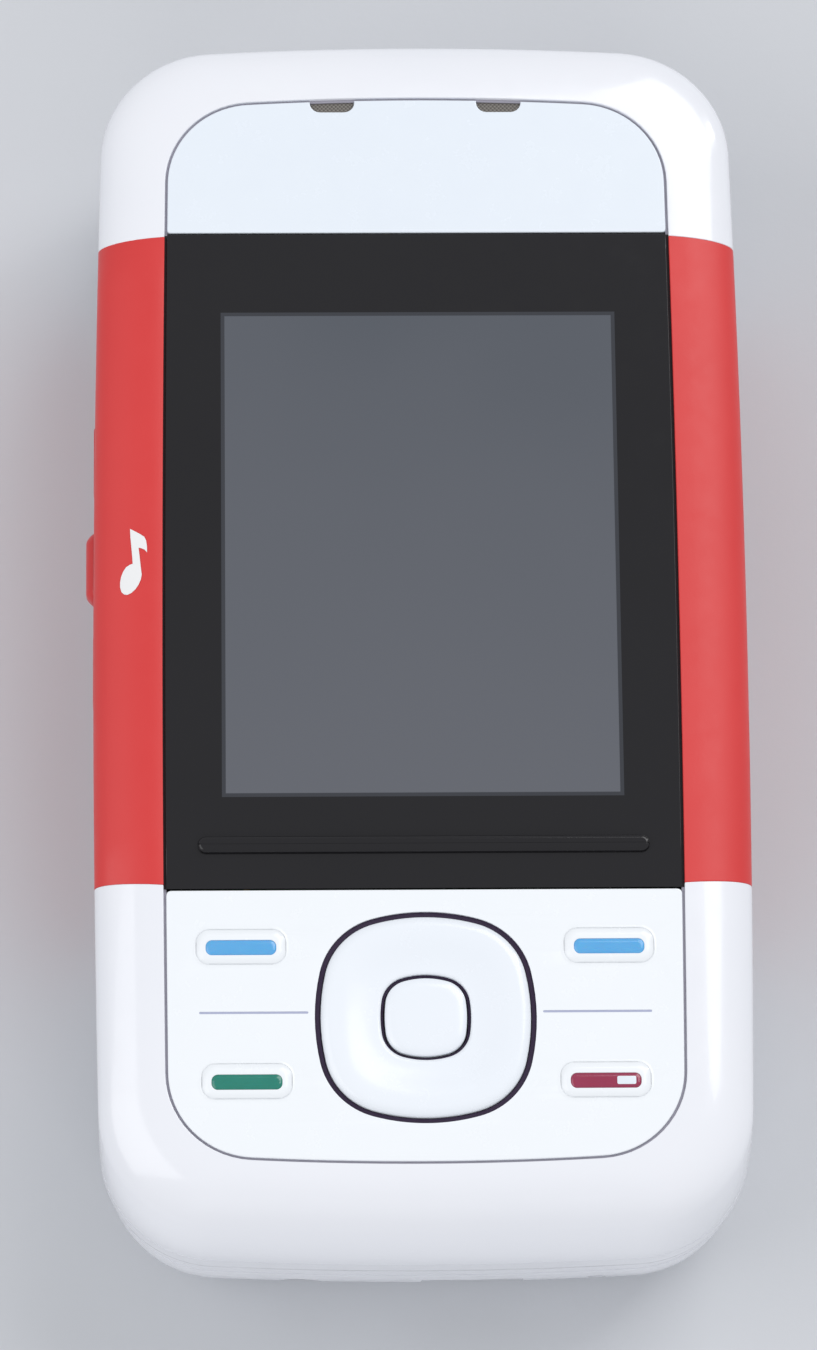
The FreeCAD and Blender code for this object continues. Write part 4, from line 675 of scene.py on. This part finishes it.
# Name, place along the wall, width, corner radius and how far it stands out.
MUSIC_KEYS = (("rewind_key", -2.3, 5.6, 0.6, 0.05), ("play_key", 5.8, 5.5, 0.98, 0.6),
              ("forward_key", 13.9, 5.6, 0.6, 0.05))
CUT_GAP, CUT_EXTRA_R, CUT_EDGE = 0.12, 0.1, 0.02
CUT_IN_X, CUT_OUT_X = -21.0, -26.0


def side_block(name, y, width, height, radius, root, tip, edge, material, body=None, slope=None):
    """A key through the left wall: a plate made flat, then stood on the wall, its top to the left."""
    outline = rounded(y, MUSIC_Z, width, height, radius)
    made = plate(name, outline, -root, -tip, material, body, edge, slope=slope)
    made.data.transform(Matrix(((0, 0, -1, 0), (1, 0, 0, 0), (0, 1, 0, 0), (0, 0, 0, 1))))
    made.data.flip_normals()
    return made


cutters = []
for name, y, width, radius, _ in MUSIC_KEYS:
    cutters.append(side_block("cutter_" + name, y, width + 2 * CUT_GAP, MUSIC_H + 2 * CUT_GAP,
                              radius + CUT_EXTRA_R, CUT_IN_X, CUT_OUT_X, CUT_EDGE, soft_red))
BAND_EDGE = 0.06
right_band = skin("side_band_right", lambda row, i: i in RIGHT_BAND, BAND_EDGE, soft_red,
                  "slide_band_right")
left_band = skin("side_band_left", lambda row, i: i in LEFT_BAND, BAND_EDGE, soft_red,
                 "slide_band_left", cutters)
for cutter in cutters:
    bpy.data.objects.remove(cutter)


# ---------------------------------------------------------------- music keys
# Rewind, play and forward keys in the left band, moulded in ABS with a satin red face. Only
# play stands proud, with sloping sides, so a thumb finds it.
MUSIC_ROOT_X, WALL_LEAST_X, MUSIC_EDGE, PLAY_SLOPE = -21.8, -23.88, 0.2, 0.85
for name, y, width, radius, stand in MUSIC_KEYS:
    tip_x = min(-BODY.side_x(y), WALL_LEAST_X) - stand
    slope = (PLAY_SLOPE, stand) if name == "play_key" else None
    key = side_block(name.replace("_key", "_cap"), y, width, MUSIC_H, radius, MUSIC_ROOT_X, tip_x,
                     MUSIC_EDGE, red_key, name, slope)
    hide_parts(name)


# ---------------------------------------------------------------- music symbol on the left band
# A plain quaver, pad printed in satin white ink on the crown beside the play key, to show
# what the side keys are for. The ink stands 0.02 mm proud.
def crown_z(x, y):
    """Height of the crown over the side of the slide."""
    wall, opening = BODY.side_x(y), OPENING.side_x(y)
    share = min(max((wall - abs(x)) / (wall - opening), 0.0), 1.0)
    return FRONT_Z - CROWN_RISE + CROWN_RISE * math.sin(math.acos(1 - share))


symbol_ink = moulded("satin_screen_ink_white", "#F4F4F4", "#ECEDED", rough=0.4, worn=0.5,
                     grain_mm=0.15, grain=0.2)
INK_PROUD = 0.02
# Outline from the top of the stem down its left side, round the head and back by the flag.
QUAVER = [
    (-21.16, 6.80), (-21.10, 6.15), (-21.02, 5.23), (-20.99, 4.74), (-21.19, 4.68), (-21.47, 4.52),
    (-21.69, 4.19), (-21.84, 3.80), (-21.91, 3.41), (-21.91, 3.02), (-21.81, 2.63), (-21.61, 2.43),
    (-21.36, 2.38), (-21.08, 2.50), (-20.79, 2.76), (-20.57, 3.08), (-20.40, 3.47), (-20.33, 3.86),
    (-20.40, 4.45), (-20.48, 5.23), (-20.56, 5.95), (-20.34, 5.88), (-20.12, 5.77), (-19.94, 5.55),
    (-19.95, 6.02), (-20.01, 6.47), (-20.15, 6.77), (-20.51, 7.03), (-21.19, 7.45)]
# The film is cut across every 0.15 mm, so that it can follow the crown.
FOLD_X, FOLD_STEP, FOLDS = -22.0, 0.15, 13
cut_out = bmesh.new()
corners = [cut_out.verts.new((x, y, 0)) for x, y in QUAVER]
for triangle in tessellate_polygon([[corner.co for corner in corners]]):
    cut_out.faces.new([corners[i] for i in triangle])
for fold in range(1, FOLDS + 1):
    bmesh.ops.bisect_plane(
        cut_out, geom=cut_out.verts[:] + cut_out.edges[:] + cut_out.faces[:],
        plane_co=(FOLD_X + FOLD_STEP * fold, 0, 0), plane_no=(1, 0, 0))
cut_out.normal_update()
for face in cut_out.faces:
    if face.normal.z < 0:
        face.normal_flip()
for vert in cut_out.verts:
    vert.co = Vector((vert.co.x, vert.co.y, crown_z(vert.co.x, vert.co.y) + INK_PROUD)) * MM
film = bpy.data.meshes.new("music_symbol")
cut_out.to_mesh(film)
cut_out.free()
film.materials.append(symbol_ink)
placed("music_symbol", film, "slide")


# ---------------------------------------------------------------- earpiece panel
# A plate moulded in satin white ABS that drops into the top of the faceplate opening, with
# two sound slots cut into its top edge. Double-sided tape holds it.
panel_white = moulded("satin_panel_white", "#EBF2F9", "#E7EEF7", rough=0.2, worn=0.3,
                      grain_mm=0.4, grain=0.08, ior=1.52, coat=0.15)


def trim(loop, y, above):
    """The part of a loop above or below a line across it."""
    kept = []
    for i, here in enumerate(loop):
        before = loop[i - 1]
        if (before[1] > y) != (here[1] > y):
            share = (y - before[1]) / (here[1] - before[1])
            kept.append((before[0] + (here[0] - before[0]) * share, y))
        if (here[1] > y) == above:
            kept.append(here)
    return kept


def soften_corners(loop, y, radius):
    """Rounds the two square corners that a trimmed loop has on a line across it."""
    made = []
    for i, (x, corner_y) in enumerate(loop):
        if abs(corner_y - y) > 1e-6:
            made.append((x, corner_y))
            continue
        before, after = Vector(loop[i - 1]), Vector(loop[(i + 1) % len(loop)])
        here = Vector((x, corner_y))
        back_way, on_way = (before - here).normalized(), (after - here).normalized()
        start, end = here + back_way * radius, here + on_way * radius
        for step in range(6):
            share = step / 5
            spot = start * (1 - share) ** 2 + here * 2 * share * (1 - share) + end * share ** 2
            made.append((spot.x, spot.y))
    return made


PANEL_BACK, PANEL_EDGE, PANEL_GAP = 19.1, 0.09, 0.12
EARPIECE_CORNER_R = 0.3
WINDOW_TOP_Y, WINDOW_BOTTOM_Y = 30.39, -20.04
SLOT_X, SLOT_W, SLOT_FOOT_Y, SLOT_R = 6.2, 3.3, 40.15, 0.76
SLOT_CLEAR, TOP_EDGE_Y = 0.15, 39.0
face_loop = FACE.loop(20, 24, 12)


def face_end_y(x):
    """The faceplate's top edge at x."""
    half_l, end_r, mid_y = FACE.values[1], FACE.values[4], FACE.values[5]
    return mid_y + half_l - end_r + math.sqrt(end_r ** 2 - x ** 2)


outline = []
panel_foot_y = WINDOW_TOP_Y + PANEL_GAP
for x, y in soften_corners(trim(face_loop, panel_foot_y, True), panel_foot_y, EARPIECE_CORNER_R):
    if y < TOP_EDGE_Y or abs(abs(x) - SLOT_X) > SLOT_W / 2 + SLOT_CLEAR:
        outline.append((x, y))
for centre in (SLOT_X, -SLOT_X):
    notch = [(centre + SLOT_W / 2, face_end_y(centre + SLOT_W / 2))]
    for start, sign in ((0, 1), (-90, -1)):
        for step in range(6):
            angle = math.radians(start - 18 * step)
            notch.append((centre + sign * (SLOT_W / 2 - SLOT_R) + SLOT_R * math.cos(angle),
                          SLOT_FOOT_Y + SLOT_R + SLOT_R * math.sin(angle)))
    notch.append((centre - SLOT_W / 2, face_end_y(centre - SLOT_W / 2)))
    place = next(i for i, (x, y) in enumerate(outline) if y > TOP_EDGE_Y and x < centre)
    outline[place:place] = notch
earpiece_plate = plate("earpiece_panel_face", outline, PANEL_BACK, FRONT_Z, panel_white, "slide",
                       PANEL_EDGE)
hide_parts("earpiece_panel")


# ---------------------------------------------------------------- earpiece mesh
# Woven stainless mesh behind the two slots, coloured dark grey. The weave is drawn at 0.3 mm,
# three times as coarse as the real one, so that it shows.
THREAD_PITCH = 0.3
woven, tree, place = blank("woven_mesh_dark")
split = add(tree, "ShaderNodeSeparateXYZ", {"Vector": place})
threads = []
for axis in ("X", "Y"):
    turns = add(tree, "ShaderNodeMath", {
        0: split.outputs[axis], 1: 2 * math.pi / (THREAD_PITCH * MM)}, operation="MULTIPLY")
    threads.append(add(tree, "ShaderNodeMath", {0: turns.outputs[0]}, operation="SINE"))
weave = add(tree, "ShaderNodeMath", {
    0: threads[0].outputs[0], 1: threads[1].outputs[0]}, operation="MULTIPLY")
level = add(tree, "ShaderNodeMapRange", {
    "Value": weave.outputs[0], "From Min": -1.0, "From Max": 1.0})
thread_colour = add(tree, "ShaderNodeMix", {
    "Factor": level.outputs["Result"], "A": linear("#57534F"), "B": linear("#8A857F")},
    data_type="RGBA")
relief = add(tree, "ShaderNodeBump", {
    "Height": level.outputs["Result"], "Strength": 0.6, "Distance": 0.05 * MM})
close(tree, add(tree, "ShaderNodeBsdfPrincipled", {
    "Base Color": thread_colour.outputs["Result"], "Metallic": 0.4, "Roughness": 0.5,
    "Normal": relief.outputs["Normal"]}))
dress(woven, "earpiece_mesh")


# ---------------------------------------------------------------- display window
# A hard-coated acrylic window, printed black on its back, with a clear area over the
# display, which reads as dark grey when it is off. Painted shade makes the display darker at
# its head end and paler towards its foot, with a thin painted shadow round its edge.
window_black = moulded("acrylic_printed_black", "#161518", "#1B1A1D", rough=0.05, worn=0.12,
                       grain_mm=1.5, grain=0.015, ior=1.49, drift_mm=20.0)
screen_off, tree, place = blank("display_off_under_acrylic")
along = add(tree, "ShaderNodeSeparateXYZ", {"Vector": place})
# Painted shade: the display is darker at its head end and paler towards its foot.
painted_shade_ramp = add(tree, "ShaderNodeMapRange", {
    "Value": along.outputs["Y"], "From Min": -13 * MM, "From Max": 24 * MM})
cloud = add(tree, "ShaderNodeTexNoise", {"Vector": place, "Scale": every_mm(30), "Detail": 2.0})
patchy = add(tree, "ShaderNodeMath", {
    0: painted_shade_ramp.outputs["Result"], 1: cloud.outputs["Fac"], 2: 0.5}, operation="MULTIPLY_ADD")
share = add(tree, "ShaderNodeMath", {0: patchy.outputs[0], 1: 0.35}, operation="SUBTRACT")
tone = add(tree, "ShaderNodeMix", {
    "Factor": share.outputs[0], "A": linear("#64666D"), "B": linear("#51565E")}, data_type="RGBA")
smudge = add(tree, "ShaderNodeTexNoise", {"Vector": place, "Scale": every_mm(2.5), "Detail": 6.0})
gloss = add(tree, "ShaderNodeMapRange", {
    "Value": smudge.outputs["Fac"], "To Min": 0.05, "To Max": 0.1})
close(tree, add(tree, "ShaderNodeBsdfPrincipled", {
    "Base Color": tone.outputs["Result"], "Roughness": gloss.outputs["Result"], "IOR": 1.49}))
# Painted shadow: a thin darker band round the display, for the shadow that the window's black print
# casts on it.
screen_edge_shadow = moulded("display_border_painted_shadow", "#37393F", "#3A3C42", rough=0.05, worn=0.1,
                      grain_mm=1.5, grain=0.012, ior=1.49)
SCREEN_HALF_W, SCREEN_LOW_Y, SCREEN_HIGH_Y, SCREEN_SHADOW_BAND = 14.53, -13.15, 24.2, 0.28
WINDOW_EDGE = 0.06
outline = trim(trim(face_loop, WINDOW_TOP_Y, False), WINDOW_BOTTOM_Y, True)
pane = plate("display_window_pane", outline, PANEL_BACK, FRONT_Z, window_black, "slide", WINDOW_EDGE)
pane.data.materials.append(screen_off)
pane.data.materials.append(screen_edge_shadow)
cuts = bmesh.new()
cuts.from_mesh(pane.data)


def face_tops():
    """The faces of the pane's flat front."""
    return [face for face in cuts.faces if face.normal.z > 0.999
            and min(vert.co.z for vert in face.verts) > (FRONT_Z - 0.01) * MM]


lines = [(side * (SCREEN_HALF_W + grow), 0, (1, 0, 0)) for side in (-1, 1)
         for grow in (0, -SCREEN_SHADOW_BAND)]
lines += [(0, SCREEN_LOW_Y + grow, (0, 1, 0)) for grow in (0, SCREEN_SHADOW_BAND)]
lines += [(0, SCREEN_HIGH_Y - grow, (0, 1, 0)) for grow in (0, SCREEN_SHADOW_BAND)]
for x, y, across in lines:
    top = face_tops()
    near = {edge for face in top for edge in face.edges} | {vert for face in top for vert in face.verts}
    bmesh.ops.bisect_plane(cuts, geom=top + list(near), plane_co=(x * MM, y * MM, 0), plane_no=across)
# Faces in the middle take the display; a thin band round them takes the painted shadow.
for face in face_tops():
    middle = face.calc_center_median() / MM
    depth = min(SCREEN_HALF_W - abs(middle.x), middle.y - SCREEN_LOW_Y, SCREEN_HIGH_Y - middle.y)
    face.material_index = 0 if depth < 0 else (2 if depth < SCREEN_SHADOW_BAND else 1)
cuts.to_mesh(pane.data)
cuts.free()
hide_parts("display_window")

# ---------------------------------------------------------------- thumb bar
# A raised black bar across the foot of the window, moulded with it, that the thumb pushes
# to slide the phone open.
BAR_Y, BAR_W, BAR_H, BAR_R = -16.8, 32.6, 1.25, 0.62
BAR_ROOT, BAR_TOP, BAR_EDGE = 0.1, 20.7, 0.3
thumb_bar = plate("thumb_bar", rounded(0, BAR_Y, BAR_W, BAR_H, BAR_R, 10), FRONT_Z - BAR_ROOT,
                  BAR_TOP, window_black, "slide", BAR_EDGE)


# ---------------------------------------------------------------- key panel
# The plate below the window, moulded in satin white ABS, with openings for the pads and the
# scroll ring and a fine groove on each side of the ring, its floor painted grey-blue as shade.
# The tape holds it too.
RING_Y, RING_GAP = -29.65, 0.41
RING = Oval(7.53, 7.42, 15.0, 4.9, 13.8, RING_Y)
SELECT = Oval(2.95, 2.88, 8.3, 1.8, 5.65, RING_Y)
END_KEY_X, LOW_KEYS_Y = 12.8, -34.35
# The key that each pad stands for, and its middle.
PADS = (("soft_key_left", -13.2, -24.4), ("soft_key_right", 13.2, -24.4),
        ("call_key", -END_KEY_X, LOW_KEYS_Y), ("end_key", END_KEY_X, LOW_KEYS_Y))
PAD_W, PAD_H, PAD_R, PAD_GAP = 6.46, 2.61, 0.98, 0.04
RULE_IN_X, RULE_OUT_X, RULE_W, RULE_Y = 8.4, 16.2, 0.16, -29.28
RULE_DEPTH, RULE_SUNK, RULE_EDGE = 0.3, 0.04, 0.01
KEY_PANEL_CORNER_R, OPENING_EDGE = 0.4, 0.03


def rule(side):
    """The outline of the fine line on one side of the ring."""
    middle, length = side * (RULE_IN_X + RULE_OUT_X) / 2, RULE_OUT_X - RULE_IN_X
    return rounded(middle, RULE_Y, length, RULE_W, RULE_W / 2, 4)


openings = [rounded(x, y, PAD_W + 2 * PAD_GAP, PAD_H + 2 * PAD_GAP, PAD_R + PAD_GAP) for _, x, y in PADS]
openings += [rule(-1), rule(1), RING.offset(RING_GAP).loop()]
key_panel_white = moulded("satin_key_panel_white", "#F7FAFD", "#F3F7FB", rough=0.2, worn=0.3,
                          grain_mm=0.4, grain=0.08, ior=1.52, coat=0.15)
panel_top_y = WINDOW_BOTTOM_Y - PANEL_GAP
outline = soften_corners(trim(face_loop, panel_top_y, False), panel_top_y, KEY_PANEL_CORNER_R)
key_plate = plate("key_panel_face", outline, PANEL_BACK, FRONT_Z, key_panel_white, "slide",
                  PANEL_EDGE, openings, OPENING_EDGE)
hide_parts("key_panel")
# Painted shade: the grey-blue floor of each fine groove beside the ring.
groove_shade_blue = moulded("groove_floor_painted_shade", "#A9AECB", "#B4B9D2", rough=0.35, worn=0.45,
                    grain_mm=0.3, grain=0.1)
for side, name in ((-1, "left"), (1, "right")):
    line = plate("panel_line_" + name, rule(side), FRONT_Z - RULE_DEPTH, FRONT_Z - RULE_SUNK,
                 groove_shade_blue, "slide", RULE_EDGE)


# ---------------------------------------------------------------- painted shade and tape in the faceplate's gaps
# A black ring of painted shade round the scroll ring, just below the panel's face, that darkens the
# gap there, and the edge of the double-sided tape that the faceplate is bedded on, painted grey by
# the panels and black by the window as shade in the gap.
GAP_FOOT_Z, RING_SHADE_TOP_Z, TAPE_TOP_Z = 19.2, 20.1, 20.02
TUCK, GAP_PIECE_EDGE = 0.02, 0.005


def band_between(name, outer, inner, low, high, material, body):
    """A flat ring between two ovals, tucked a little under what is round it."""
    made = plate(name, outer.offset(TUCK).loop(), low, high, material, body, GAP_PIECE_EDGE,
                 [inner.loop()], GAP_PIECE_EDGE)


# Painted shade: a black ring that darkens the gaps round the scroll ring and the select key.
gap_shade_black = moulded("black_gap_shade_painted", "#2A1A36", "#31203C", rough=0.7, worn=0.8,
                     grain_mm=0.1, grain=0.5)
# Painted shade: the tape is painted grey by the panels and black by the window, as shade in the gap.
WINDOW_SHADE_MID_Y, WINDOW_SHADE_REACH = 5.2, 25.2
tape_gap_shade, tree, place = blank("bedding_tape_painted_shade")
along = add(tree, "ShaderNodeSeparateXYZ", {"Vector": place})
from_middle = add(tree, "ShaderNodeMath", {
    0: along.outputs["Y"], 1: WINDOW_SHADE_MID_Y * MM}, operation="SUBTRACT")
reach = add(tree, "ShaderNodeMath", {0: from_middle.outputs[0]}, operation="ABSOLUTE")
beside_window = add(tree, "ShaderNodeMath", {
    0: reach.outputs[0], 1: WINDOW_SHADE_REACH * MM}, operation="LESS_THAN")
tone = add(tree, "ShaderNodeMix", {
    "Factor": beside_window.outputs[0], "A": linear("#A3A0AC"), "B": linear("#1E1218")},
    data_type="RGBA")
fibre = add(tree, "ShaderNodeTexNoise", {"Vector": place, "Scale": every_mm(0.3), "Detail": 3.0})
relief = add(tree, "ShaderNodeBump", {
    "Height": fibre.outputs["Fac"], "Strength": 0.3, "Distance": 0.02 * MM})
close(tree, add(tree, "ShaderNodeBsdfPrincipled", {
    "Base Color": tone.outputs["Result"], "Roughness": 0.65, "Normal": relief.outputs["Normal"]}))
band_between("ring_gap_shade", RING.offset(RING_GAP), RING.offset(0.06), GAP_FOOT_Z, RING_SHADE_TOP_Z,
             gap_shade_black, "slide")
band_between("faceplate_bed", OPENING, FACE.offset(-TUCK), GAP_FOOT_Z, TAPE_TOP_Z, tape_gap_shade, "slide")


# ---------------------------------------------------------------- function keys
# Four pillow pads moulded in the same white, each rising out of a low collar on the panel,
# with a lozenge of tinted resin cast in: blue for the soft keys, green call, red end.
COLLAR_REACH, COLLAR_RISE, COLLAR_STEPS = 0.24, 0.05, 7
COLLAR_CLEAR, COLLAR_LIFT, COLLAR_ROOT = 0.012, 0.002, 0.2
PAD_FOOT, PAD_TOP, PAD_SLOPE, PAD_HOLE_EDGE = 18.9, 20.6, (0.62, 0.25), 0.04
INLAY_W, INLAY_H, INLAY_R, INLAY_DROP = 5.05, 1.12, 0.46, 0.12
INLAY_DEPTH, INLAY_TOP, INLAY_SLOPE = 0.25, 20.62, (0.36, 0.09)
TAB_X, TAB_Y, TAB_W, TAB_H, TAB_R = END_KEY_X + 1.47, -34.47, 1.36, 0.6, 0.12
TAB_ROOT, TAB_PROUD, TAB_EDGE = 0.1, 0.01, 0.02


def lofted(name, levels, material, body, lid=False):
    """A skin through loops of equal count, each with its height. A lid closes the last one."""
    count = len(levels[0][0])
    points = [(x, y, z) for loop, z in levels for x, y in loop]
    faces = walls(0, count, len(levels))
    if lid:
        faces.append(tuple(range(len(points) - count, len(points))))
    return mesh_piece(name, points, faces, material, body)


def collar(name, x, y):
    """The low hollow fillet that the panel rises in round a pad, just clear of the pad."""
    outer = rounded(x, y, PAD_W + 2 * COLLAR_REACH, PAD_H + 2 * COLLAR_REACH, PAD_R + COLLAR_REACH)
    run = COLLAR_REACH - COLLAR_CLEAR
    levels = []
    for step in range(COLLAR_STEPS + 1):
        share = step / COLLAR_STEPS
        levels.append((inset(outer, run * share), FRONT_Z + COLLAR_LIFT + COLLAR_RISE * share ** 2.2))
    levels.append((inset(outer, run), FRONT_Z - COLLAR_ROOT))
    lofted(name, levels, key_panel_white, "slide")


def tinted_resin(name, colour, other):
    """Tinted clear resin over white plastic: it glows a little and has a wet gloss."""
    material, tree, place = blank(name)
    cloud = add(tree, "ShaderNodeTexNoise", {"Vector": place, "Scale": every_mm(1.6), "Detail": 4.0})
    tint = add(tree, "ShaderNodeMix", {
        "Factor": cloud.outputs["Fac"], "A": linear(colour), "B": linear(other)}, data_type="RGBA")
    gloss = add(tree, "ShaderNodeMapRange", {
        "Value": cloud.outputs["Fac"], "To Min": 0.12, "To Max": 0.22})
    relief = add(tree, "ShaderNodeBump", {
        "Height": cloud.outputs["Fac"], "Strength": 0.1, "Distance": 0.02 * MM})
    close(tree, add(tree, "ShaderNodeBsdfPrincipled", {
        "Base Color": tint.outputs["Result"], "Roughness": gloss.outputs["Result"], "IOR": 1.5,
        "Subsurface Weight": 0.25, "Subsurface Scale": 0.3 * MM, "Coat Weight": 0.5,
        "Coat Roughness": 0.05, "Normal": relief.outputs["Normal"]}))
    return material


resin_blue = tinted_resin("resin_blue", "#56A9E2", "#66B3E8")
resin_green = tinted_resin("resin_green", "#1A7D6C", "#248776")
resin_red = tinted_resin("resin_red", "#952B4C", "#A13656")
for (name, x, y), resin in zip(PADS, (resin_blue, resin_blue, resin_green, resin_red)):
    inlay_loop = rounded(x, y - INLAY_DROP, INLAY_W, INLAY_H, INLAY_R)
    cap = plate(name.replace("_key", "_pad"), rounded(x, y, PAD_W, PAD_H, PAD_R, 10), PAD_FOOT,
                PAD_TOP, key_panel_white, name, holes=[inlay_loop], hole_edge=PAD_HOLE_EDGE,
                slope=PAD_SLOPE)
    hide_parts(name)
    inlay = plate(name.replace("_key", "_inlay"), inlay_loop, PAD_TOP - INLAY_DEPTH, INLAY_TOP,
                  resin, name, slope=INLAY_SLOPE)
    collar(name.replace("_key", "_collar"), x, y)
tab = plate("end_inlay_tab", rounded(TAB_X, TAB_Y, TAB_W, TAB_H, TAB_R, 4), INLAY_TOP - TAB_ROOT,
            INLAY_TOP + TAB_PROUD, panel_white, "end_key", TAB_EDGE)


# ---------------------------------------------------------------- scroll ring
# A white ring that rocks four ways. Its rim rounds over outside and falls in a soft dish
# to the select key. Moulded ABS with a satin face.
RING_FOOT, RING_TOP = 18.5, 20.7
RIM_RUN, RIM_RISE, RIM_W, RIM_STEPS = 0.8, 0.48, 1.35, 8
DISH_TOP, DISH_DEPTH, DISH_STEPS, WELL_Z = RING_TOP - 0.02, 0.43, 12, 20.2
SELECT_GAP = 0.3
ring_white = moulded("satin_ring_white", "#F3F7FC", "#EFF4FB", rough=0.2, worn=0.3,
                     grain_mm=0.4, grain=0.07, ior=1.52, coat=0.15)


def round_over(oval, foot, rim_z, run, rise):
    """Levels of an upright wall on an oval, with a quarter ellipse that rounds its top over."""
    levels = [(oval.loop(), foot), (oval.loop(), rim_z)]
    for step in range(1, RIM_STEPS + 1):
        turn = math.radians(90 * step / RIM_STEPS)
        rim = oval.offset(-run * (1 - math.cos(turn)))
        levels.append((rim.loop(), rim_z + rise * math.sin(turn)))
    return levels


levels = round_over(RING, RING_FOOT, RING_TOP - RIM_RISE, RIM_RUN, RIM_RISE)
well = SELECT.offset(SELECT_GAP)
rim_inside = RING.offset(-RIM_W)
for step in range(DISH_STEPS + 1):
    share = step / DISH_STEPS
    fall = math.sin(share * math.pi / 2) ** 2
    levels.append((rim_inside.towards(well, share).loop(), DISH_TOP - DISH_DEPTH * fall ** 0.75))
levels += [(well.loop(), WELL_Z), (well.loop(), RING_FOOT)]
ring = even_shading(lofted("scroll_ring_face", levels, ring_white, "ring"))
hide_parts("scroll_ring")


# ---------------------------------------------------------------- select key
# The domed key in the middle of the ring, moulded in the same white ABS. A thin black
# ring in the gap round it is painted shade.
SELECT_RIM_Z, SELECT_RUN, SELECT_RISE = 20.2, 0.9, 0.32
SELECT_SHADE_FOOT_Z, SELECT_SHADE_TOP_Z = 19.4, 19.95
# How far out from the middle each loop of the dome is, and how far above the rim.
DOME = ((0.75, 0.014), (0.5, 0.024), (0.25, 0.03))
levels = round_over(SELECT, RING_FOOT, SELECT_RIM_Z, SELECT_RUN, SELECT_RISE)
rim, rim_z = levels[-1]
for share, rise in DOME:
    levels.append(([(x * share, RING_Y + (y - RING_Y) * share) for x, y in rim], rim_z + rise))
select = even_shading(lofted("select_key_face", levels, ring_white, "select_key", lid=True))
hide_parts("select_key")
# Painted shade: a black ring that darkens the gap round the select key.
band_between("select_gap_shade", SELECT.offset(SELECT_GAP), SELECT.offset(0.1), SELECT_SHADE_FOOT_Z,
             SELECT_SHADE_TOP_Z, gap_shade_black, "ring")


# ---------------------------------------------------------------- studio light
# An even pale surround and three large soft boxes: the key beyond the earpiece end on the
# right, a fill on the left, and one at the foot that stays out of the gloss. A small one on
# the right draws a crisp highlight on the corner there.
world = bpy.data.worlds.new("studio")
bpy.context.scene.world = world
world.use_nodes = True
surround = world.node_tree.nodes["Background"]
surround.inputs["Color"].default_value = linear("#F2F4F8")
surround.inputs["Strength"].default_value = 0.56


def soft_box(name, place, target, width, height, power):
    """A soft box at a place, aimed at a target: metres and watts."""
    light = bpy.data.lights.new(name, "AREA")
    light.shape, light.size, light.size_y, light.energy = "RECTANGLE", width, height, power
    lamp = placed(name, light)
    lamp.location = place
    lamp.rotation_mode = "QUATERNION"
    lamp.rotation_quaternion = (Vector(target) - Vector(place)).to_track_quat("-Z", "Y")
    return lamp


soft_box("key_box", (0.5, 0.6, 0.84), (0, 0, 0.02), 0.75, 0.75, 4.9)
soft_box("fill_box", (-0.55, -0.1, 0.55), (0, 0, 0.02), 0.6, 0.6, 1.6)
front_box = soft_box("front_box", (0.05, -0.72, 0.45), (0, -0.03, 0.01), 0.7, 0.4, 1.5)
front_box.visible_glossy = False
soft_box("side_box", (0.6, 0.48, 0.29), (0.02, 0.04, 0.02), 0.1, 0.16, 0.45)


# ---------------------------------------------------------------- camera
# A long lens half a metre above the phone's front, leaning 18 degrees towards the foot end
# and almost square to the phone otherwise. It aims at a point on the faceplate.
PITCH, YAW, ROLL = math.radians(18.0), math.radians(-1.319), math.radians(-0.641)
CAMERA_RANGE, LENS_MM, SENSOR_MM = 524.44, 192.67, 36.0
AIM = Vector((-0.968, -3.95, 20.3))
back = Vector((math.sin(YAW) * math.cos(PITCH), -math.sin(PITCH), math.cos(PITCH) * math.cos(YAW)))
back.normalize()
level = Vector((0, 1, 0)).cross(back).normalized()
upright = back.cross(level)
right = level * math.cos(ROLL) + upright * math.sin(ROLL)
up = upright * math.cos(ROLL) - level * math.sin(ROLL)
lens = bpy.data.cameras.new("camera")
lens.lens, lens.sensor_width = LENS_MM, SENSOR_MM
lens.clip_start, lens.clip_end = 0.01, 10.0
camera = placed("camera", lens)
turned = Matrix((right, up, back)).transposed().to_4x4()
camera.matrix_world = Matrix.Translation((AIM + back * CAMERA_RANGE) * MM) @ turned
bpy.context.scene.camera = camera
bpy.context.scene.view_settings.view_transform = "Standard"
